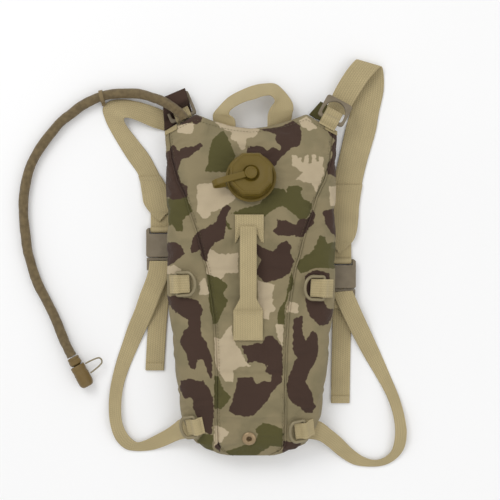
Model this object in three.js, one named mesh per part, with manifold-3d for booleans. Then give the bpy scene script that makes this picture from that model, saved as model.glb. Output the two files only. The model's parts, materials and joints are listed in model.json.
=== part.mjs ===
// Hydration pack: a slim insulated carrier for a drinking-water bladder, with two shoulder
// straps, a screw-capped filler, a sleeved drinking hose and a bite valve.
// Units are millimetres. The pack lies on its back: +X is its right-hand side seen from the
// front, +Y points to its top, +Z points out of its front, and z = 0 is the rear face.
import * as THREE from 'three';
import { mergeVertices } from 'three/addons/utils/BufferGeometryUtils.js';
import Module from 'manifold-3d';

const wasm = await Module();
wasm.setup();

// ---------------------------------------------------------------- driving dimensions
const GAP = 0.3; // running gap between neighbouring pieces

// Carrier body
const BODY_TOP = 185.4; // top edge at the middle
const BODY_BOTTOM = -228.3;
const REAR_PANEL = 6; // thickness of the rear panel
const WIDEST_AT = 22; // height above the rear face where the body is widest
const END_HEIGHT = 26; // height of the front panel at the top and bottom ends
const BOTTOM_ROLL = 80; // length over which the front falls to the bottom end
const TOP_ROLL = 105;
const UNDERCUT = 0.14; // how far the sides tuck in, as a share of the half width
const SQUARENESS = 2.8; // exponent of the rounded cross-section
const PANEL_WALL = 2.2; // fabric and padding of the front and side panels
const LINER_INSET = 4;
const LINER_WALL = 2.4;
const BLADDER_INSET = 9.5;
const BLADDER_WALL = 1.2;
const BLADDER_SPREAD = 0.54; // share of the body's half width that the bladder takes
const SPOUT_END = -174; // lower end of the bladder's outlet spout
const SPOUT_HEIGHT = 20;

// Half width of the body at heights along Y
const HALF_WIDTH = [
  [-228.3, 22], [-226, 36], [-220, 57], [-213, 69], [-202, 78], [-178, 88.5], [-146, 93.3],
  [-100, 99.4], [-75, 101.6], [-29, 106.2], [32, 107], [95, 107.3], [159, 108], [181, 109],
  [190, 109],
];
// Distance of the seams of the front panel from the middle line
const SEAM = [
  [-229, 17], [-222, 36], [-213, 42], [-184, 43], [-127, 42.5], [-83, 44], [-50, 46], [-24, 49.7],
  [10, 55], [23, 59.5], [53, 67], [76, 75], [99, 82], [119, 92], [146, 99.7], [176, 103.7],
  [190, 104.5],
];
// Height of the middle of the front panel
const CROWN = [[-230, 46], [-100, 49], [40, 53], [190, 50]];
// The top edge is hollow in the middle and cut off at its corners
const TOP_EDGE = [[0, 185.4], [25, 188.6], [51, 196.4], [70, 203.8], [109, 181]];
const TOP_EDGE_FROM = 118; // the top edge's shape fades out down to here
// Rows along the body on which all its layers share their vertices
const ROWS = [
  -228.3, -226, -220, -212, -200, -182, -158, -130, -98, -64, -30, 4, 38, 70, 96, 118, 137, 154,
  168, 178, 185.4,
];

// Webbing
const WEB = 1.5; // thickness of single webbing
const WEB_NARROW = 25;

// Filler, its axis tilted towards the top of the pack
const FILLER_Y = 122;
const FILLER_TILT = THREE.MathUtils.degToRad(12);
const NECK_RADIUS = 21.5;
const NECK_BORE = 18.5;
const FLANGE_RADIUS = 31.5;
const NECK_TOP = 15;
const CAP_FLATS = 53; // across the flats of the eight-sided cap
const CAP_BASE = 4.2;
const CAP_TOP = 23;
const BOSS_RADIUS = 7.7;

// Drinking hose
const SLEEVE_RADIUS = 6.5;
const TUBE_RADIUS = 4.5;
const HOSE_STEPS = 44;
const BAIL_PIVOT = 10.7; // distance of the wire bail's ends from the valve's axis

// Metal rings
const RING_WIRE = 4.2;
const TAB_BORE = 2.7; // inner radius of a webbing loop round a ring's bar
const TAB_OUTER = 4.2;
const TAB_WALL = 3.2; // two layers of webbing

// Side-release buckles
const BUCKLE_WIDTH = 35;
const BUCKLE_HEIGHT = 10;
const BUCKLE_LIFT = 0.5;
const FEMALE_LENGTH = 38;
const MALE_LENGTH = 16;
const BUCKLES = {
  left: { x: -116.5, mouth: 22 },
  right: { x: 116.5, mouth: -18 },
};
const RELEASE_TRAVEL = 24;

// Zip across the rear panel
const ZIP_Y = 138;
const ZIP_HALF = 78;
const ZIP_SLOT = 13;

// ---------------------------------------------------------------- materials
const material = (color, roughness, metalness = 0) =>
  new THREE.MeshStandardMaterial({ color, roughness, metalness });
const MATERIALS = {
  camo: material(0x8b8262, 0.9),
  rear: material(0x7d7454, 0.95),
  webbing: material(0xac9e7a, 0.85),
  sleeve: material(0x716142, 0.8),
  plastic: material(0x6e5a28, 0.35),
  buckle: material(0x6e6450, 0.45),
  metal: material(0x8c8064, 0.4, 0.6),
  brass: material(0xc0a878, 0.35, 0.8),
  foam: material(0xb9bcc0, 0.6),
  film: material(0x9fb6c4, 0.3),
  rubber: material(0x55502f, 0.6),
};

// ---------------------------------------------------------------- general helpers
const vector = (x, y, z) => new THREE.Vector3(x, y, z);

function interpolate(table, at) {
  if (at <= table[0][0]) return table[0][1];
  for (let i = 1; i < table.length; i += 1) {
    const [x1, y1] = table[i];
    const [x0, y0] = table[i - 1];
    if (at <= x1) return y0 + ((y1 - y0) * (at - x0)) / (x1 - x0);
  }
  return table[table.length - 1][1];
}

function signedVolume(geometry) {
  const p = geometry.attributes.position;
  const index = geometry.index;
  const corners = [vector(0, 0, 0), vector(0, 0, 0), vector(0, 0, 0)];
  const count = index ? index.count : p.count;
  let volume = 0;
  for (let i = 0; i < count; i += 3) {
    corners.forEach((c, k) => c.fromBufferAttribute(p, index ? index.getX(i + k) : i + k));
    volume += corners[0].dot(corners[1].clone().cross(corners[2]));
  }
  return volume / 6;
}

// A closed slab between two surfaces, each a function of (u, v) from 0 to 1.
function slab(front, back, columns, rows) {
  const positions = [];
  const index = [];
  for (const surface of [front, back]) {
    for (let j = 0; j <= rows; j += 1) {
      for (let i = 0; i <= columns; i += 1) {
        positions.push(...surface(i / columns, j / rows).toArray());
      }
    }
  }
  const layer = (columns + 1) * (rows + 1);
  const at = (side, i, j) => side * layer + j * (columns + 1) + i;
  const quad = (a, b, c, d) => index.push(a, b, c, a, c, d);
  for (let j = 0; j < rows; j += 1) {
    for (let i = 0; i < columns; i += 1) {
      quad(at(0, i, j), at(0, i + 1, j), at(0, i + 1, j + 1), at(0, i, j + 1));
      quad(at(1, i, j), at(1, i, j + 1), at(1, i + 1, j + 1), at(1, i + 1, j));
    }
  }
  for (let j = 0; j < rows; j += 1) {
    quad(at(0, 0, j), at(0, 0, j + 1), at(1, 0, j + 1), at(1, 0, j));
    quad(at(0, columns, j), at(1, columns, j), at(1, columns, j + 1), at(0, columns, j + 1));
  }
  for (let i = 0; i < columns; i += 1) {
    quad(at(0, i, 0), at(1, i, 0), at(1, i + 1, 0), at(0, i + 1, 0));
    quad(at(0, i, rows), at(0, i + 1, rows), at(1, i + 1, rows), at(1, i, rows));
  }
  const geometry = new THREE.BufferGeometry();
  geometry.setAttribute('position', new THREE.Float32BufferAttribute(positions, 3));
  if (signedVolume(new THREE.BufferGeometry().copy(geometry).setIndex(index)) < 0) {
    for (let i = 0; i < index.length; i += 3) {
      [index[i], index[i + 1]] = [index[i + 1], index[i]];
    }
  }
  geometry.setIndex(index);
  return geometry;
}

// Flat webbing between a left and a right edge, each a list of [x, y, z].
function ribbon(left, right, steps, thickness = WEB) {
  const curve = (points) =>
    new THREE.CatmullRomCurve3(points.map((p) => vector(...p)), false, 'centripetal');
  const a = curve(left);
  const b = curve(right);
  const middle = (v) => a.getPoint(v).add(b.getPoint(v)).multiplyScalar(0.5);
  const side = (sign) => (u, v) => {
    const e = 0.002;
    const along = middle(Math.min(1, v + e)).sub(middle(Math.max(0, v - e)));
    const across = b.getPoint(v).sub(a.getPoint(v));
    const normal = along.cross(across).normalize();
    return a.getPoint(v).addScaledVector(across, u).addScaledVector(normal, (sign * thickness) / 2);
  };
  return slab(side(1), side(-1), 1, steps);
}

function solid(geometry) {
  const plain = geometry.clone();
  plain.deleteAttribute('normal');
  plain.deleteAttribute('uv');
  const merged = mergeVertices(plain, 1e-4);
  return new wasm.Manifold(
    new wasm.Mesh({
      numProp: 3,
      vertProperties: Float32Array.from(merged.attributes.position.array),
      triVerts: Uint32Array.from(merged.index.array),
    }),
  );
}

function geometryOf(manifold) {
  const mesh = manifold.getMesh();
  const geometry = new THREE.BufferGeometry();
  geometry.setAttribute('position', new THREE.Float32BufferAttribute(mesh.vertProperties, 3));
  geometry.setIndex(Array.from(mesh.triVerts));
  return geometry;
}

const cut = (body, ...tools) =>
  geometryOf(tools.reduce((rest, tool) => rest.subtract(solid(tool)), solid(body)));
const join = (...pieces) => geometryOf(pieces.map(solid).reduce((a, b) => a.add(b)));

const box = (x0, x1, y0, y1, z0, z1) =>
  new THREE.BoxGeometry(x1 - x0, y1 - y0, z1 - z0).translate(
    (x0 + x1) / 2,
    (y0 + y1) / 2,
    (z0 + z1) / 2,
  );

// A solid of revolution about +Z from a closed profile of [radius, height].
function lathe(profile, segments = 32) {
  const points = profile.map(([r, z]) => new THREE.Vector2(r, z));
  const onAxis = profile[0][0] === 0 && profile[profile.length - 1][0] === 0;
  if (!onAxis) points.push(points[0].clone());
  const geometry = new THREE.LatheGeometry(points, segments).rotateX(Math.PI / 2);
  return signedVolume(geometry) < 0 ? flipped(geometry) : geometry;
}

function flipped(geometry) {
  const index = Array.from(geometry.index.array);
  for (let i = 0; i < index.length; i += 3) [index[i], index[i + 1]] = [index[i + 1], index[i]];
  geometry.setIndex(index);
  return geometry;
}

function extrude(shape, depth, bevel = 0, curveSegments = 12) {
  const options = { depth: depth - 2 * bevel, curveSegments, bevelEnabled: bevel > 0 };
  if (bevel > 0) {
    Object.assign(options, {
      bevelThickness: bevel,
      bevelSize: bevel,
      bevelOffset: -bevel,
      bevelSegments: 1,
    });
  }
  return new THREE.ExtrudeGeometry(shape, options).translate(0, 0, bevel);
}

function polygon(points) {
  const shape = new THREE.Shape();
  points.forEach(([x, y], i) => (i ? shape.lineTo(x, y) : shape.moveTo(x, y)));
  return shape;
}

function tube(points, radius, steps, sides) {
  const circle = new THREE.Shape().absarc(0, 0, radius, 0, 2 * Math.PI);
  return new THREE.ExtrudeGeometry(circle, {
    steps,
    curveSegments: sides,
    bevelEnabled: false,
    extrudePath: new THREE.CatmullRomCurve3(points.map((p) => vector(...p)), false, 'centripetal'),
  });
}

// The turn and shift that take +X, +Y, +Z to three directions at a point.
const placed = (geometry, origin, x, y, z) =>
  geometry.applyMatrix4(new THREE.Matrix4().makeBasis(x, y, z).setPosition(origin));

// ---------------------------------------------------------------- the object
const pack = new THREE.Group();
const pivots = {}; // name: { pos, axis } of every hinge and slide, in millimetres
pack.userData.pivots = pivots;

function add(name, geometry, materialName) {
  const mesh = new THREE.Mesh(geometry, MATERIALS[materialName]);
  mesh.name = name;
  pack.add(mesh);
}

const pivot = (name, pos, axis) => {
  pivots[name] = { pos: pos.toArray(), axis: axis.clone().normalize().toArray() };
};

// ---------------------------------------------------------------- carrier body
const quarterRound = (t) => Math.sqrt(1 - (1 - THREE.MathUtils.clamp(t, 0, 1)) ** 2);

function crownAt(y) {
  const bottom = quarterRound((y - BODY_BOTTOM) / BOTTOM_ROLL);
  const fall = bottom * quarterRound((BODY_TOP - y) / TOP_ROLL);
  return END_HEIGHT + (interpolate(CROWN, y) - END_HEIGHT) * fall;
}

// A point of the body. Across goes from -1 at the left side to 1 at the right; beyond them, up
// to 2, it follows the tucked-in lower part of the side. Inset moves inwards.
function bodyPoint(across, row, inset = 0) {
  const half = interpolate(HALF_WIDTH, row) - inset;
  const sign = Math.sign(across) || 1;
  const t = Math.abs(across);
  const low = REAR_PANEL + GAP + inset;
  let x;
  let z;
  if (t <= 1) {
    const angle = (t * Math.PI) / 2;
    x = half * Math.sin(angle) ** (2 / SQUARENESS);
    z = WIDEST_AT + (crownAt(row) - inset - WIDEST_AT) * Math.cos(angle) ** (2 / SQUARENESS);
  } else {
    x = half * (1 - UNDERCUT * (t - 1));
    z = WIDEST_AT + (low - WIDEST_AT) * (t - 1);
  }
  const lift = Math.max(0, (row - TOP_EDGE_FROM) / (BODY_TOP - TOP_EDGE_FROM)) ** 2;
  const shifted = row + (interpolate(TOP_EDGE, Math.min(x, 109)) - BODY_TOP) * lift;
  const middle = (BODY_TOP + BODY_BOTTOM) / 2;
  const y = middle + (shifted - middle) * (1 - (inset * 2) / (BODY_TOP - BODY_BOTTOM));
  return vector(sign * x, y, z);
}

const acrossAt = (x, row) =>
  Math.sign(x) *
  (2 / Math.PI) *
  Math.asin(Math.min(1, Math.abs(x) / interpolate(HALF_WIDTH, row)) ** (SQUARENESS / 2));

const rowAt = (place) => {
  const i = Math.min(ROWS.length - 2, Math.floor(place + 1e-9));
  return ROWS[i] + (ROWS[i + 1] - ROWS[i]) * (place - i);
};

// Point, outward normal and directions on the outside of the body.
function surfaceFrame(x, y, heading) {
  const across = acrossAt(x, y);
  const e = 0.01;
  const point = bodyPoint(across, y);
  const du = bodyPoint(across + e, y).sub(bodyPoint(across - e, y));
  const dv = bodyPoint(across, y + 1).sub(bodyPoint(across, y - 1));
  const normal = du.cross(dv).normalize();
  const along = heading.clone().addScaledVector(normal, -heading.dot(normal)).normalize();
  return { point, normal, along, side: along.clone().cross(normal) };
}

// A panel of the body between two curves of "across", each a function of the row.
function panel(from, to, inset, wall, columns, firstRow = 0, lastRow = ROWS.length - 1) {
  const surface = (depth) => (u, v) => {
    const row = rowAt(firstRow + (lastRow - firstRow) * v);
    return bodyPoint(from(row) + (to(row) - from(row)) * u, row, depth);
  };
  return slab(surface(inset), surface(inset + wall), columns, lastRow - firstRow);
}

const seamAcross = (row) => acrossAt(interpolate(SEAM, row), row);
const seamGap = (row) => (GAP * 0.9) / interpolate(HALF_WIDTH, row);

const NECK_STANDOFF = 2.4; // the filler's flange starts this far above the front panel
const fillerOrigin = surfaceFrame(0.01, FILLER_Y, vector(0, 1, 0)).point
  .setX(0)
  .add(vector(0, 0, NECK_STANDOFF));
const fillerAxis = vector(0, Math.sin(FILLER_TILT), Math.cos(FILLER_TILT));
const fillerUp = vector(0, Math.cos(FILLER_TILT), -Math.sin(FILLER_TILT));
const onFiller = (geometry) =>
  placed(geometry, fillerOrigin, vector(1, 0, 0), fillerUp, fillerAxis);
const fillerCutter = (radius) => onFiller(lathe([[0, -30], [radius, -30], [radius, 30], [0, 30]]));

function addBody() {
  const inner = (row) => seamAcross(row) - seamGap(row);
  const outer = (row) => seamAcross(row) + seamGap(row);
  const front = panel((row) => -inner(row), inner, 0, PANEL_WALL, 12);
  add('front_panel', cut(front, fillerCutter(NECK_RADIUS + 1.5)), 'camo');
  add('side_panel_left', panel(() => -2, (row) => -outer(row), 0, PANEL_WALL, 6), 'camo');
  add('side_panel_right', panel(() => 2, outer, 0, PANEL_WALL, 6), 'camo');
  const liner = panel(() => -1.9, () => 1.9, LINER_INSET, LINER_WALL, 14, 2, ROWS.length - 4);
  add('insulation_liner', cut(liner, fillerCutter(NECK_RADIUS + 1.5)), 'foam');
  add('rear_panel', rearPanel(), 'rear');
  add('top_gusset', topGusset(), 'camo');
  add('bottom_gusset', box(-14, 14, -227.6, -225.6, REAR_PANEL + GAP, 22), 'camo');
  for (const [side, sign] of [['left', -1], ['right', 1]]) {
    const flap = [[108, 184], [107, 221], [84, 229.5], [74, 206]];
    const shape = polygon(flap.map(([x, y]) => [sign * x, y]));
    add(`corner_flap_${side}`, extrude(shape, 2.6, 0.6).translate(0, 0, 3.2), 'camo');
    add(`mouth_binding_${side}`, mouthBinding(sign), 'webbing');
  }
}

function rearPanel() {
  const right = HALF_WIDTH.map(([y, half]) => [half * (1 - UNDERCUT), Math.min(y, BODY_TOP - 4)]);
  const left = right.map(([x, y]) => [-x, y]).reverse();
  const plate = extrude(polygon([...right, ...left]), REAR_PANEL);
  const half = ZIP_SLOT / 2;
  return cut(plate, box(-ZIP_HALF, ZIP_HALF, ZIP_Y - half, ZIP_Y + half, -5, REAR_PANEL + 5));
}

// Wall that closes the top end between the two corner mouths.
function topGusset() {
  const reach = acrossAt(68, BODY_TOP);
  const surface = (depth) => (u, v) => {
    const across = reach * (2 * u - 1);
    const edge = bodyPoint(across, BODY_TOP);
    const low = REAR_PANEL + GAP;
    const high = edge.z - PANEL_WALL - 1.5;
    return vector(edge.x, edge.y - depth, low + (high - low) * v);
  };
  return slab(surface(0.5), surface(2.5), 12, 1);
}

// Tape sewn over the cut corner of the front, where the hose comes out.
function mouthBinding(sign) {
  const from = 0.62;
  const to = 0.93;
  const steps = 6;
  const surface = (height) => (u, v) => {
    const across = sign * (from + (to - from) * v);
    const edge = bodyPoint(across, BODY_TOP - 4 * (1 - u));
    const rear = bodyPoint(across, BODY_TOP - 6);
    const outward = edge.clone().sub(rear).normalize();
    return edge.clone().add(vector(0, 0, height)).addScaledVector(outward, 0.2);
  };
  return slab(surface(1.9), surface(0.5), 1, steps);
}

// ---------------------------------------------------------------- reservoir and filler
function addReservoir() {
  const pillow = (inset) => {
    const low = bladderSurface(inset, false);
    return slab(bladderSurface(inset, true), low, 10, 12);
  };
  const shell = cut(pillow(BLADDER_INSET), pillow(BLADDER_INSET + BLADDER_WALL));
  const spout = new THREE.CylinderGeometry(TUBE_RADIUS, TUBE_RADIUS, 9, 12)
    .translate(0, SPOUT_END + 4.5, SPOUT_HEIGHT);
  add('bladder', join(cut(shell, fillerCutter(NECK_RADIUS + GAP)), spout), 'film');
  add('filler_neck', onFiller(lathe([
    [NECK_BORE, -20], [NECK_RADIUS, -20], [NECK_RADIUS, 0.6], [FLANGE_RADIUS, 1.2],
    [FLANGE_RADIUS, 2.6], [FLANGE_RADIUS - 1, 3.4], [NECK_RADIUS, 3.8], [NECK_RADIUS, NECK_TOP],
    [NECK_BORE, NECK_TOP],
  ])), 'plastic');
  const gasket = [];
  for (let i = 0; i < 8; i += 1) {
    const angle = (i * Math.PI) / 4;
    gasket.push([20 + 1.2 * Math.cos(angle), NECK_TOP + 1.6 + 1.2 * Math.sin(angle)]);
  }
  add('neck_gasket', onFiller(lathe(gasket, 24)), 'rubber');
  addCap();
  add('inner_tube', tube(INNER_TUBE, TUBE_RADIUS, 30, 8), 'rubber');
}

function bladderSurface(inset, top) {
  const low = -182;
  const high = 160;
  return (u, v) => {
    const row = low + inset + (high - low - 2 * inset) * v;
    const across = (u * 2 - 1) * BLADDER_SPREAD;
    const point = bodyPoint(across, row, inset);
    const floor = REAR_PANEL + 4 + inset * 0.3;
    return top ? point : vector(point.x, point.y, floor);
  };
}

function addCap() {
  const radius = CAP_FLATS / 2 / Math.cos(Math.PI / 8);
  const corners = [];
  for (let i = 0; i < 8; i += 1) {
    for (const turn of [-0.12, 0.12]) {
      const angle = ((i + 0.5) * Math.PI) / 4 + turn;
      corners.push([radius * Math.cos(angle) * 0.985, radius * Math.sin(angle) * 0.985]);
    }
  }
  const block = extrude(polygon(corners), CAP_TOP - CAP_BASE, 1.4).translate(0, 0, CAP_BASE);
  const bore = lathe([[0, 0], [NECK_RADIUS + 0.5, 0], [NECK_RADIUS + 0.5, 18.6], [0, 18.6]]);
  const recess = lathe([[0, 21], [10, 21], [12.5, 26], [0, 26]]);
  add('cap', onFiller(cut(block, bore, recess)), 'plastic');
  const post = lathe([
    [0, 21.3], [6, 21.3], [6, 23.2], [BOSS_RADIUS, 23.4], [BOSS_RADIUS, 26],
    [BOSS_RADIUS - 1.2, 27.2], [0, 27.2],
  ], 20);
  add('cap_boss', onFiller(post), 'plastic');
  add('cap_tether', capTether(), 'plastic');
  pivot('cap_turn', fillerOrigin, fillerAxis);
  pivot('cap_lift', fillerOrigin, fillerAxis);
}

// Flat moulded arm from the boss over the cap's rim and down to a ring round the neck.
function capTether() {
  const heading = vector(-0.965, -0.262, 0);
  const across = vector(-0.262, 0.965, 0);
  const path = [
    [8.2, 24.6], [18, 25], [29, 25], [37, 24.4], [42, 21], [44.6, 14], [45.4, 6], [46, 0],
  ];
  const half = 4;
  const frame = new THREE.Matrix4().makeBasis(vector(1, 0, 0), fillerUp, fillerAxis);
  frame.setPosition(fillerOrigin);
  const edge = (sign) => path.map(([out, height]) => {
    const local = heading.clone().multiplyScalar(out).addScaledVector(across, half * sign);
    return local.setZ(height).applyMatrix4(frame).toArray();
  });
  return ribbon(edge(-1), edge(1), 18, 1.6);
}

// Route of the tube inside the carrier, from the bladder's spout up to the left mouth.
const INNER_TUBE = [
  [0, SPOUT_END - GAP, SPOUT_HEIGHT], [0, SPOUT_END - 4, SPOUT_HEIGHT], [-3, -185, 20],
  [-11, -192, 20], [-24, -195, 20.5], [-41, -193, 22], [-57, -187, 24], [-69, -177, 25],
  [-76.5, -157, 25], [-83.2, -110, 25], [-88, -60, 25], [-91, 0, 25], [-91.8, 60, 25],
  [-91.8, 110, 25], [-91, 150, 24.5], [-88, 176, 24],
];

// ---------------------------------------------------------------- drinking hose
const HOSE_ROUTE = [
  [-85, 197, 24], [-88, 203, 24], [-93, 208, 23.8], [-101, 214, 23], [-109, 219, 20.5],
  [-118, 223.5, 16.5], [-128, 227, 12.5], [-141, 231, 9], [-160, 232, 7.6], [-177, 231, 8],
  [-192, 228, 8.3], [-204, 223, 7.6], [-217, 216, 7], [-230, 206, 7], [-243, 196, 7], [-255, 182, 7],
  [-265, 169, 7], [-273, 157, 7], [-281, 142, 7], [-286, 127, 7], [-289, 112, 7], [-291, 95, 7],
  [-291, 80, 7], [-290, 64, 7], [-288, 48, 7], [-286, 32, 7], [-282, 17, 7], [-277, 0, 7],
  [-271, -15, 7], [-263, -30, 7], [-255, -46, 7], [-248, -61, 7.4], [-242, -76, 8.6],
  [-236.6, -88.5, 9.6], [-232.8, -96.1, 9.9], [-228.5, -104.1, 9.9],
];

const valveOrigin = vector(-228, -105, 9.9);
const valveAxis = vector(20, -37, 0).normalize();
const valveSide = vector(37, 20, 0).normalize();
const onValve = (geometry) =>
  placed(geometry, valveOrigin, valveSide, vector(0, 0, 1), valveAxis);

function addDrinkLine() {
  add('drink_hose', tube(HOSE_ROUTE, SLEEVE_RADIUS, HOSE_STEPS, 10), 'sleeve');
  add('valve_collar', onValve(lathe([
    [0, 0.4], [7.2, 0.4], [7.8, 1.5], [7.8, 9.5], [6.6, 11], [4.5, 12], [4.5, 17], [0, 17],
  ], 20)), 'plastic');
  add('mouthpiece', onValve(lathe([
    [0, 17.3], [4.6, 17.3], [6.2, 18.5], [6.2, 27], [5, 32], [0, 33.4],
  ], 16)), 'rubber');
  add('valve_cover', onValve(valveCover()), 'plastic');
  add('valve_bail', onValve(valveBail()), 'metal');
  pivot('cover_pull', valveOrigin, valveAxis);
  pivot('bail_swing', valvePoint(BAIL_PIVOT, 0, 21), valveAxis);
}

const valvePoint = (across, height, along) => valveOrigin.clone()
  .addScaledVector(valveSide, across).add(vector(0, 0, height)).addScaledVector(valveAxis, along);

// Cup over the mouthpiece, which carries the wire bail.
function valveCover() {
  return lathe([
    [7, 34], [5.5, 37], [0, 38.5], [0, 42.7], [5, 42.4], [8.2, 40], [9.4, 36], [9.4, 13.4],
    [8.8, 12.4], [7, 12.4],
  ], 24);
}

function valveBail() {
  const path = [
    [BAIL_PIVOT, 0, 15], [14, 0, 15], [24, 0, 15.6], [29.5, 0, 17], [31, 0, 20.5], [29.5, 0, 24],
    [24, 0, 26.2], [14, 0, 28.2], [BAIL_PIVOT, 0, 28.6],
  ];
  return tube(path, 1, 24, 8);
}

// Elastic loop round the hose, sewn to the fold of the left shoulder strap.
function hoseKeeper() {
  const ring = new THREE.Shape().absarc(0, 0, 7.9, 0, 2 * Math.PI);
  ring.holes.push(new THREE.Path().absarc(0, 0, 7, 0, 2 * Math.PI));
  const loop = extrude(ring, 5, 0, 20).translate(0, 0, -2.5);
  const tongue = box(-12, -6.4, -5.5, -4.4, -2.5, 2.5);
  const along = vector(15, 3.4, 0).normalize();
  const up = vector(0, 0, 1);
  const side = up.clone().cross(along);
  return placed(join(loop, tongue), vector(-191, 228.3, 8.4), side, up, along);
}

// ---------------------------------------------------------------- rings and their tabs
// A ring in its own plane: its bar along X through the origin, its bow towards +Y. Straight is
// the share of its depth over which its arms run straight.
function ringGeometry({ width, depth, straight }, wire) {
  const outline = (inset) => {
    const half = width / 2 - inset;
    const start = -wire / 2 + inset;
    const turn = depth * straight;
    const reach = depth - wire / 2 - inset - turn;
    const points = [[-half, start], [half, start]];
    for (let i = 0; i <= 10; i += 1) {
      const angle = (i * Math.PI) / 10;
      points.push([half * Math.cos(angle), turn + reach * Math.sin(angle)]);
    }
    return points;
  };
  const shape = polygon(outline(0));
  const hole = outline(wire).map(([x, y]) => new THREE.Vector2(x, y));
  shape.holes.push(new THREE.Path(hole));
  return extrude(shape, wire, wire / 4).translate(0, 0, -wire / 2);
}

// Webbing folded round a bar that lies along X. The tail runs towards +Y, the root towards -Y.
function tabGeometry(width, tail, root) {
  const bottom = -TAB_OUTER;
  const top = bottom + TAB_WALL;
  const start = Math.asin(top / TAB_OUTER);
  const shape = new THREE.Shape();
  shape.moveTo(tail, bottom);
  shape.lineTo(tail, top);
  if (root > 0) {
    shape.absarc(0, 0, TAB_OUTER, start, Math.PI - start, false);
    shape.lineTo(-root, top);
    shape.lineTo(-root, bottom);
  } else {
    shape.absarc(0, 0, TAB_OUTER, start, (3 * Math.PI) / 2, false);
  }
  shape.closePath();
  shape.holes.push(new THREE.Path().absarc(0, 0, TAB_BORE, 0, 2 * Math.PI));
  const geometry = extrude(shape, width, 0, 10).translate(0, 0, -width / 2);
  // the shape's x becomes +Y, its y becomes +Z and the extrusion becomes +X
  return geometry.applyMatrix4(
    new THREE.Matrix4().makeBasis(vector(0, 1, 0), vector(0, 0, 1), vector(1, 0, 0)),
  );
}

// bow is the direction of the ring's bow seen from the front. The tab has a long end, tail, and
// a short one, root; flip turns the tab about. web is the width of the tab's webbing.
const RINGS = [
  {
    name: 'side_left', x: -91.5, y: -11, bow: [1, 0.05],
    tail: 17, root: 10, width: 33, depth: 30, straight: 0.5, web: 23, flip: 1,
  },
  {
    name: 'side_right', x: 89.5, y: -16, bow: [-1, 0.05],
    tail: 17, root: 13, width: 33, depth: 30, straight: 0.5, web: 23, flip: 1,
  },
  {
    name: 'lower_left', x: -68, y: -189, bow: [-1, -0.2],
    tail: 12.5, root: 10, width: 31, depth: 24, straight: 0.5, web: 21.5, flip: 1,
  },
  {
    name: 'lower_right', x: 66.5, y: -193, bow: [-1, -0.12],
    tail: 12.5, root: 13, width: 31, depth: 24, straight: 0.5, web: 21.5, flip: 1,
  },
  {
    name: 'top_left', at: [-86, 201, 10.3], bow: [-0.38, 0.92], slope: 0,
    tail: 9, root: 0, width: 36, depth: 33, straight: 0.35, web: 20, flip: -1,
  },
  {
    name: 'top_right', at: [100, 196, 31.5], bow: [0.47, 0.88], slope: 20,
    tail: 13, root: 0, width: 36, depth: 33, straight: 0.35, web: 24, flip: -1,
  },
];

// Where a ring lies: on the body's surface, or at a stated place with a slope along its bow.
function ringFrame(ring, heading) {
  if (!ring.at) {
    const frame = surfaceFrame(ring.x, ring.y, heading);
    return { ...frame, origin: frame.point.addScaledVector(frame.normal, TAB_OUTER + 0.5) };
  }
  const slope = THREE.MathUtils.degToRad(ring.slope);
  const along = heading.clone().multiplyScalar(Math.cos(slope)).setZ(-Math.sin(slope));
  const side = heading.clone().cross(vector(0, 0, 1));
  return { origin: vector(...ring.at), along, side, normal: side.clone().cross(along) };
}

function addRings() {
  for (const ring of RINGS) {
    const heading = vector(ring.bow[0], ring.bow[1], 0).normalize();
    const { origin, normal, along, side } = ringFrame(ring, heading);
    const finish = ring.name.startsWith('top') ? 'buckle' : 'metal';
    const loop = ringGeometry(ring, RING_WIRE);
    add(`ring_${ring.name}`, placed(loop, origin, side, along, normal), finish);
    const tab = tabGeometry(ring.web, ring.tail, ring.root);
    const tabAlong = along.clone().multiplyScalar(ring.flip);
    const tabSide = side.clone().multiplyScalar(ring.flip);
    add(`tab_${ring.name}`, placed(tab, origin, tabSide, tabAlong, normal), 'webbing');
    pivot(`swing_${ring.name}`, origin, side);
  }
}

// ---------------------------------------------------------------- shoulder straps
const STRAPS = {
  left: {
    left: [
      [-101, 206, 1.4], [-113, 211, 1.6], [-128, 217, 3.6], [-150, 223, 2.5], [-169, 225, 1.6],
      [-183, 222, 1.4], [-190, 214, 1.4], [-187, 199, 1.3], [-177, 179, 1.3], [-160, 151, 1.3],
      [-147, 126, 1.3], [-140, 105, 1.3], [-136, 89, 1.3],
    ],
    right: [
      [-101, 183, 1.4], [-113, 185.5, 1.8], [-126, 189, 6], [-143, 196, 12], [-156, 200, 16],
      [-161, 200, 16], [-162, 197, 13], [-158, 189, 7], [-148, 176, 3], [-131, 154, 1.3],
      [-117, 128, 1.3], [-105, 105, 1.3], [-102, 89, 1.3],
    ],
  },
  right: {
    left: [
      [97, 215, 8], [110, 242, 12], [125, 265, 13], [135, 275.5, 7.5], [132, 266, 2],
      [132, 240, 1.3], [128, 212, 1.3], [122, 190, 1.3], [114, 155, 1.3], [107, 124, 1.3],
      [102, 90, 1.3], [101, 58, 1.3],
    ],
    right: [
      [122, 203, 8], [136, 228, 12], [154, 254, 13], [167, 266, 7.5], [170, 258, 2],
      [170, 236, 1.3], [164, 207, 1.3], [160, 184, 1.3], [150, 149, 1.3], [143, 120, 1.3],
      [138, 90, 1.3], [135, 58, 1.3],
    ],
  },
};

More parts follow.
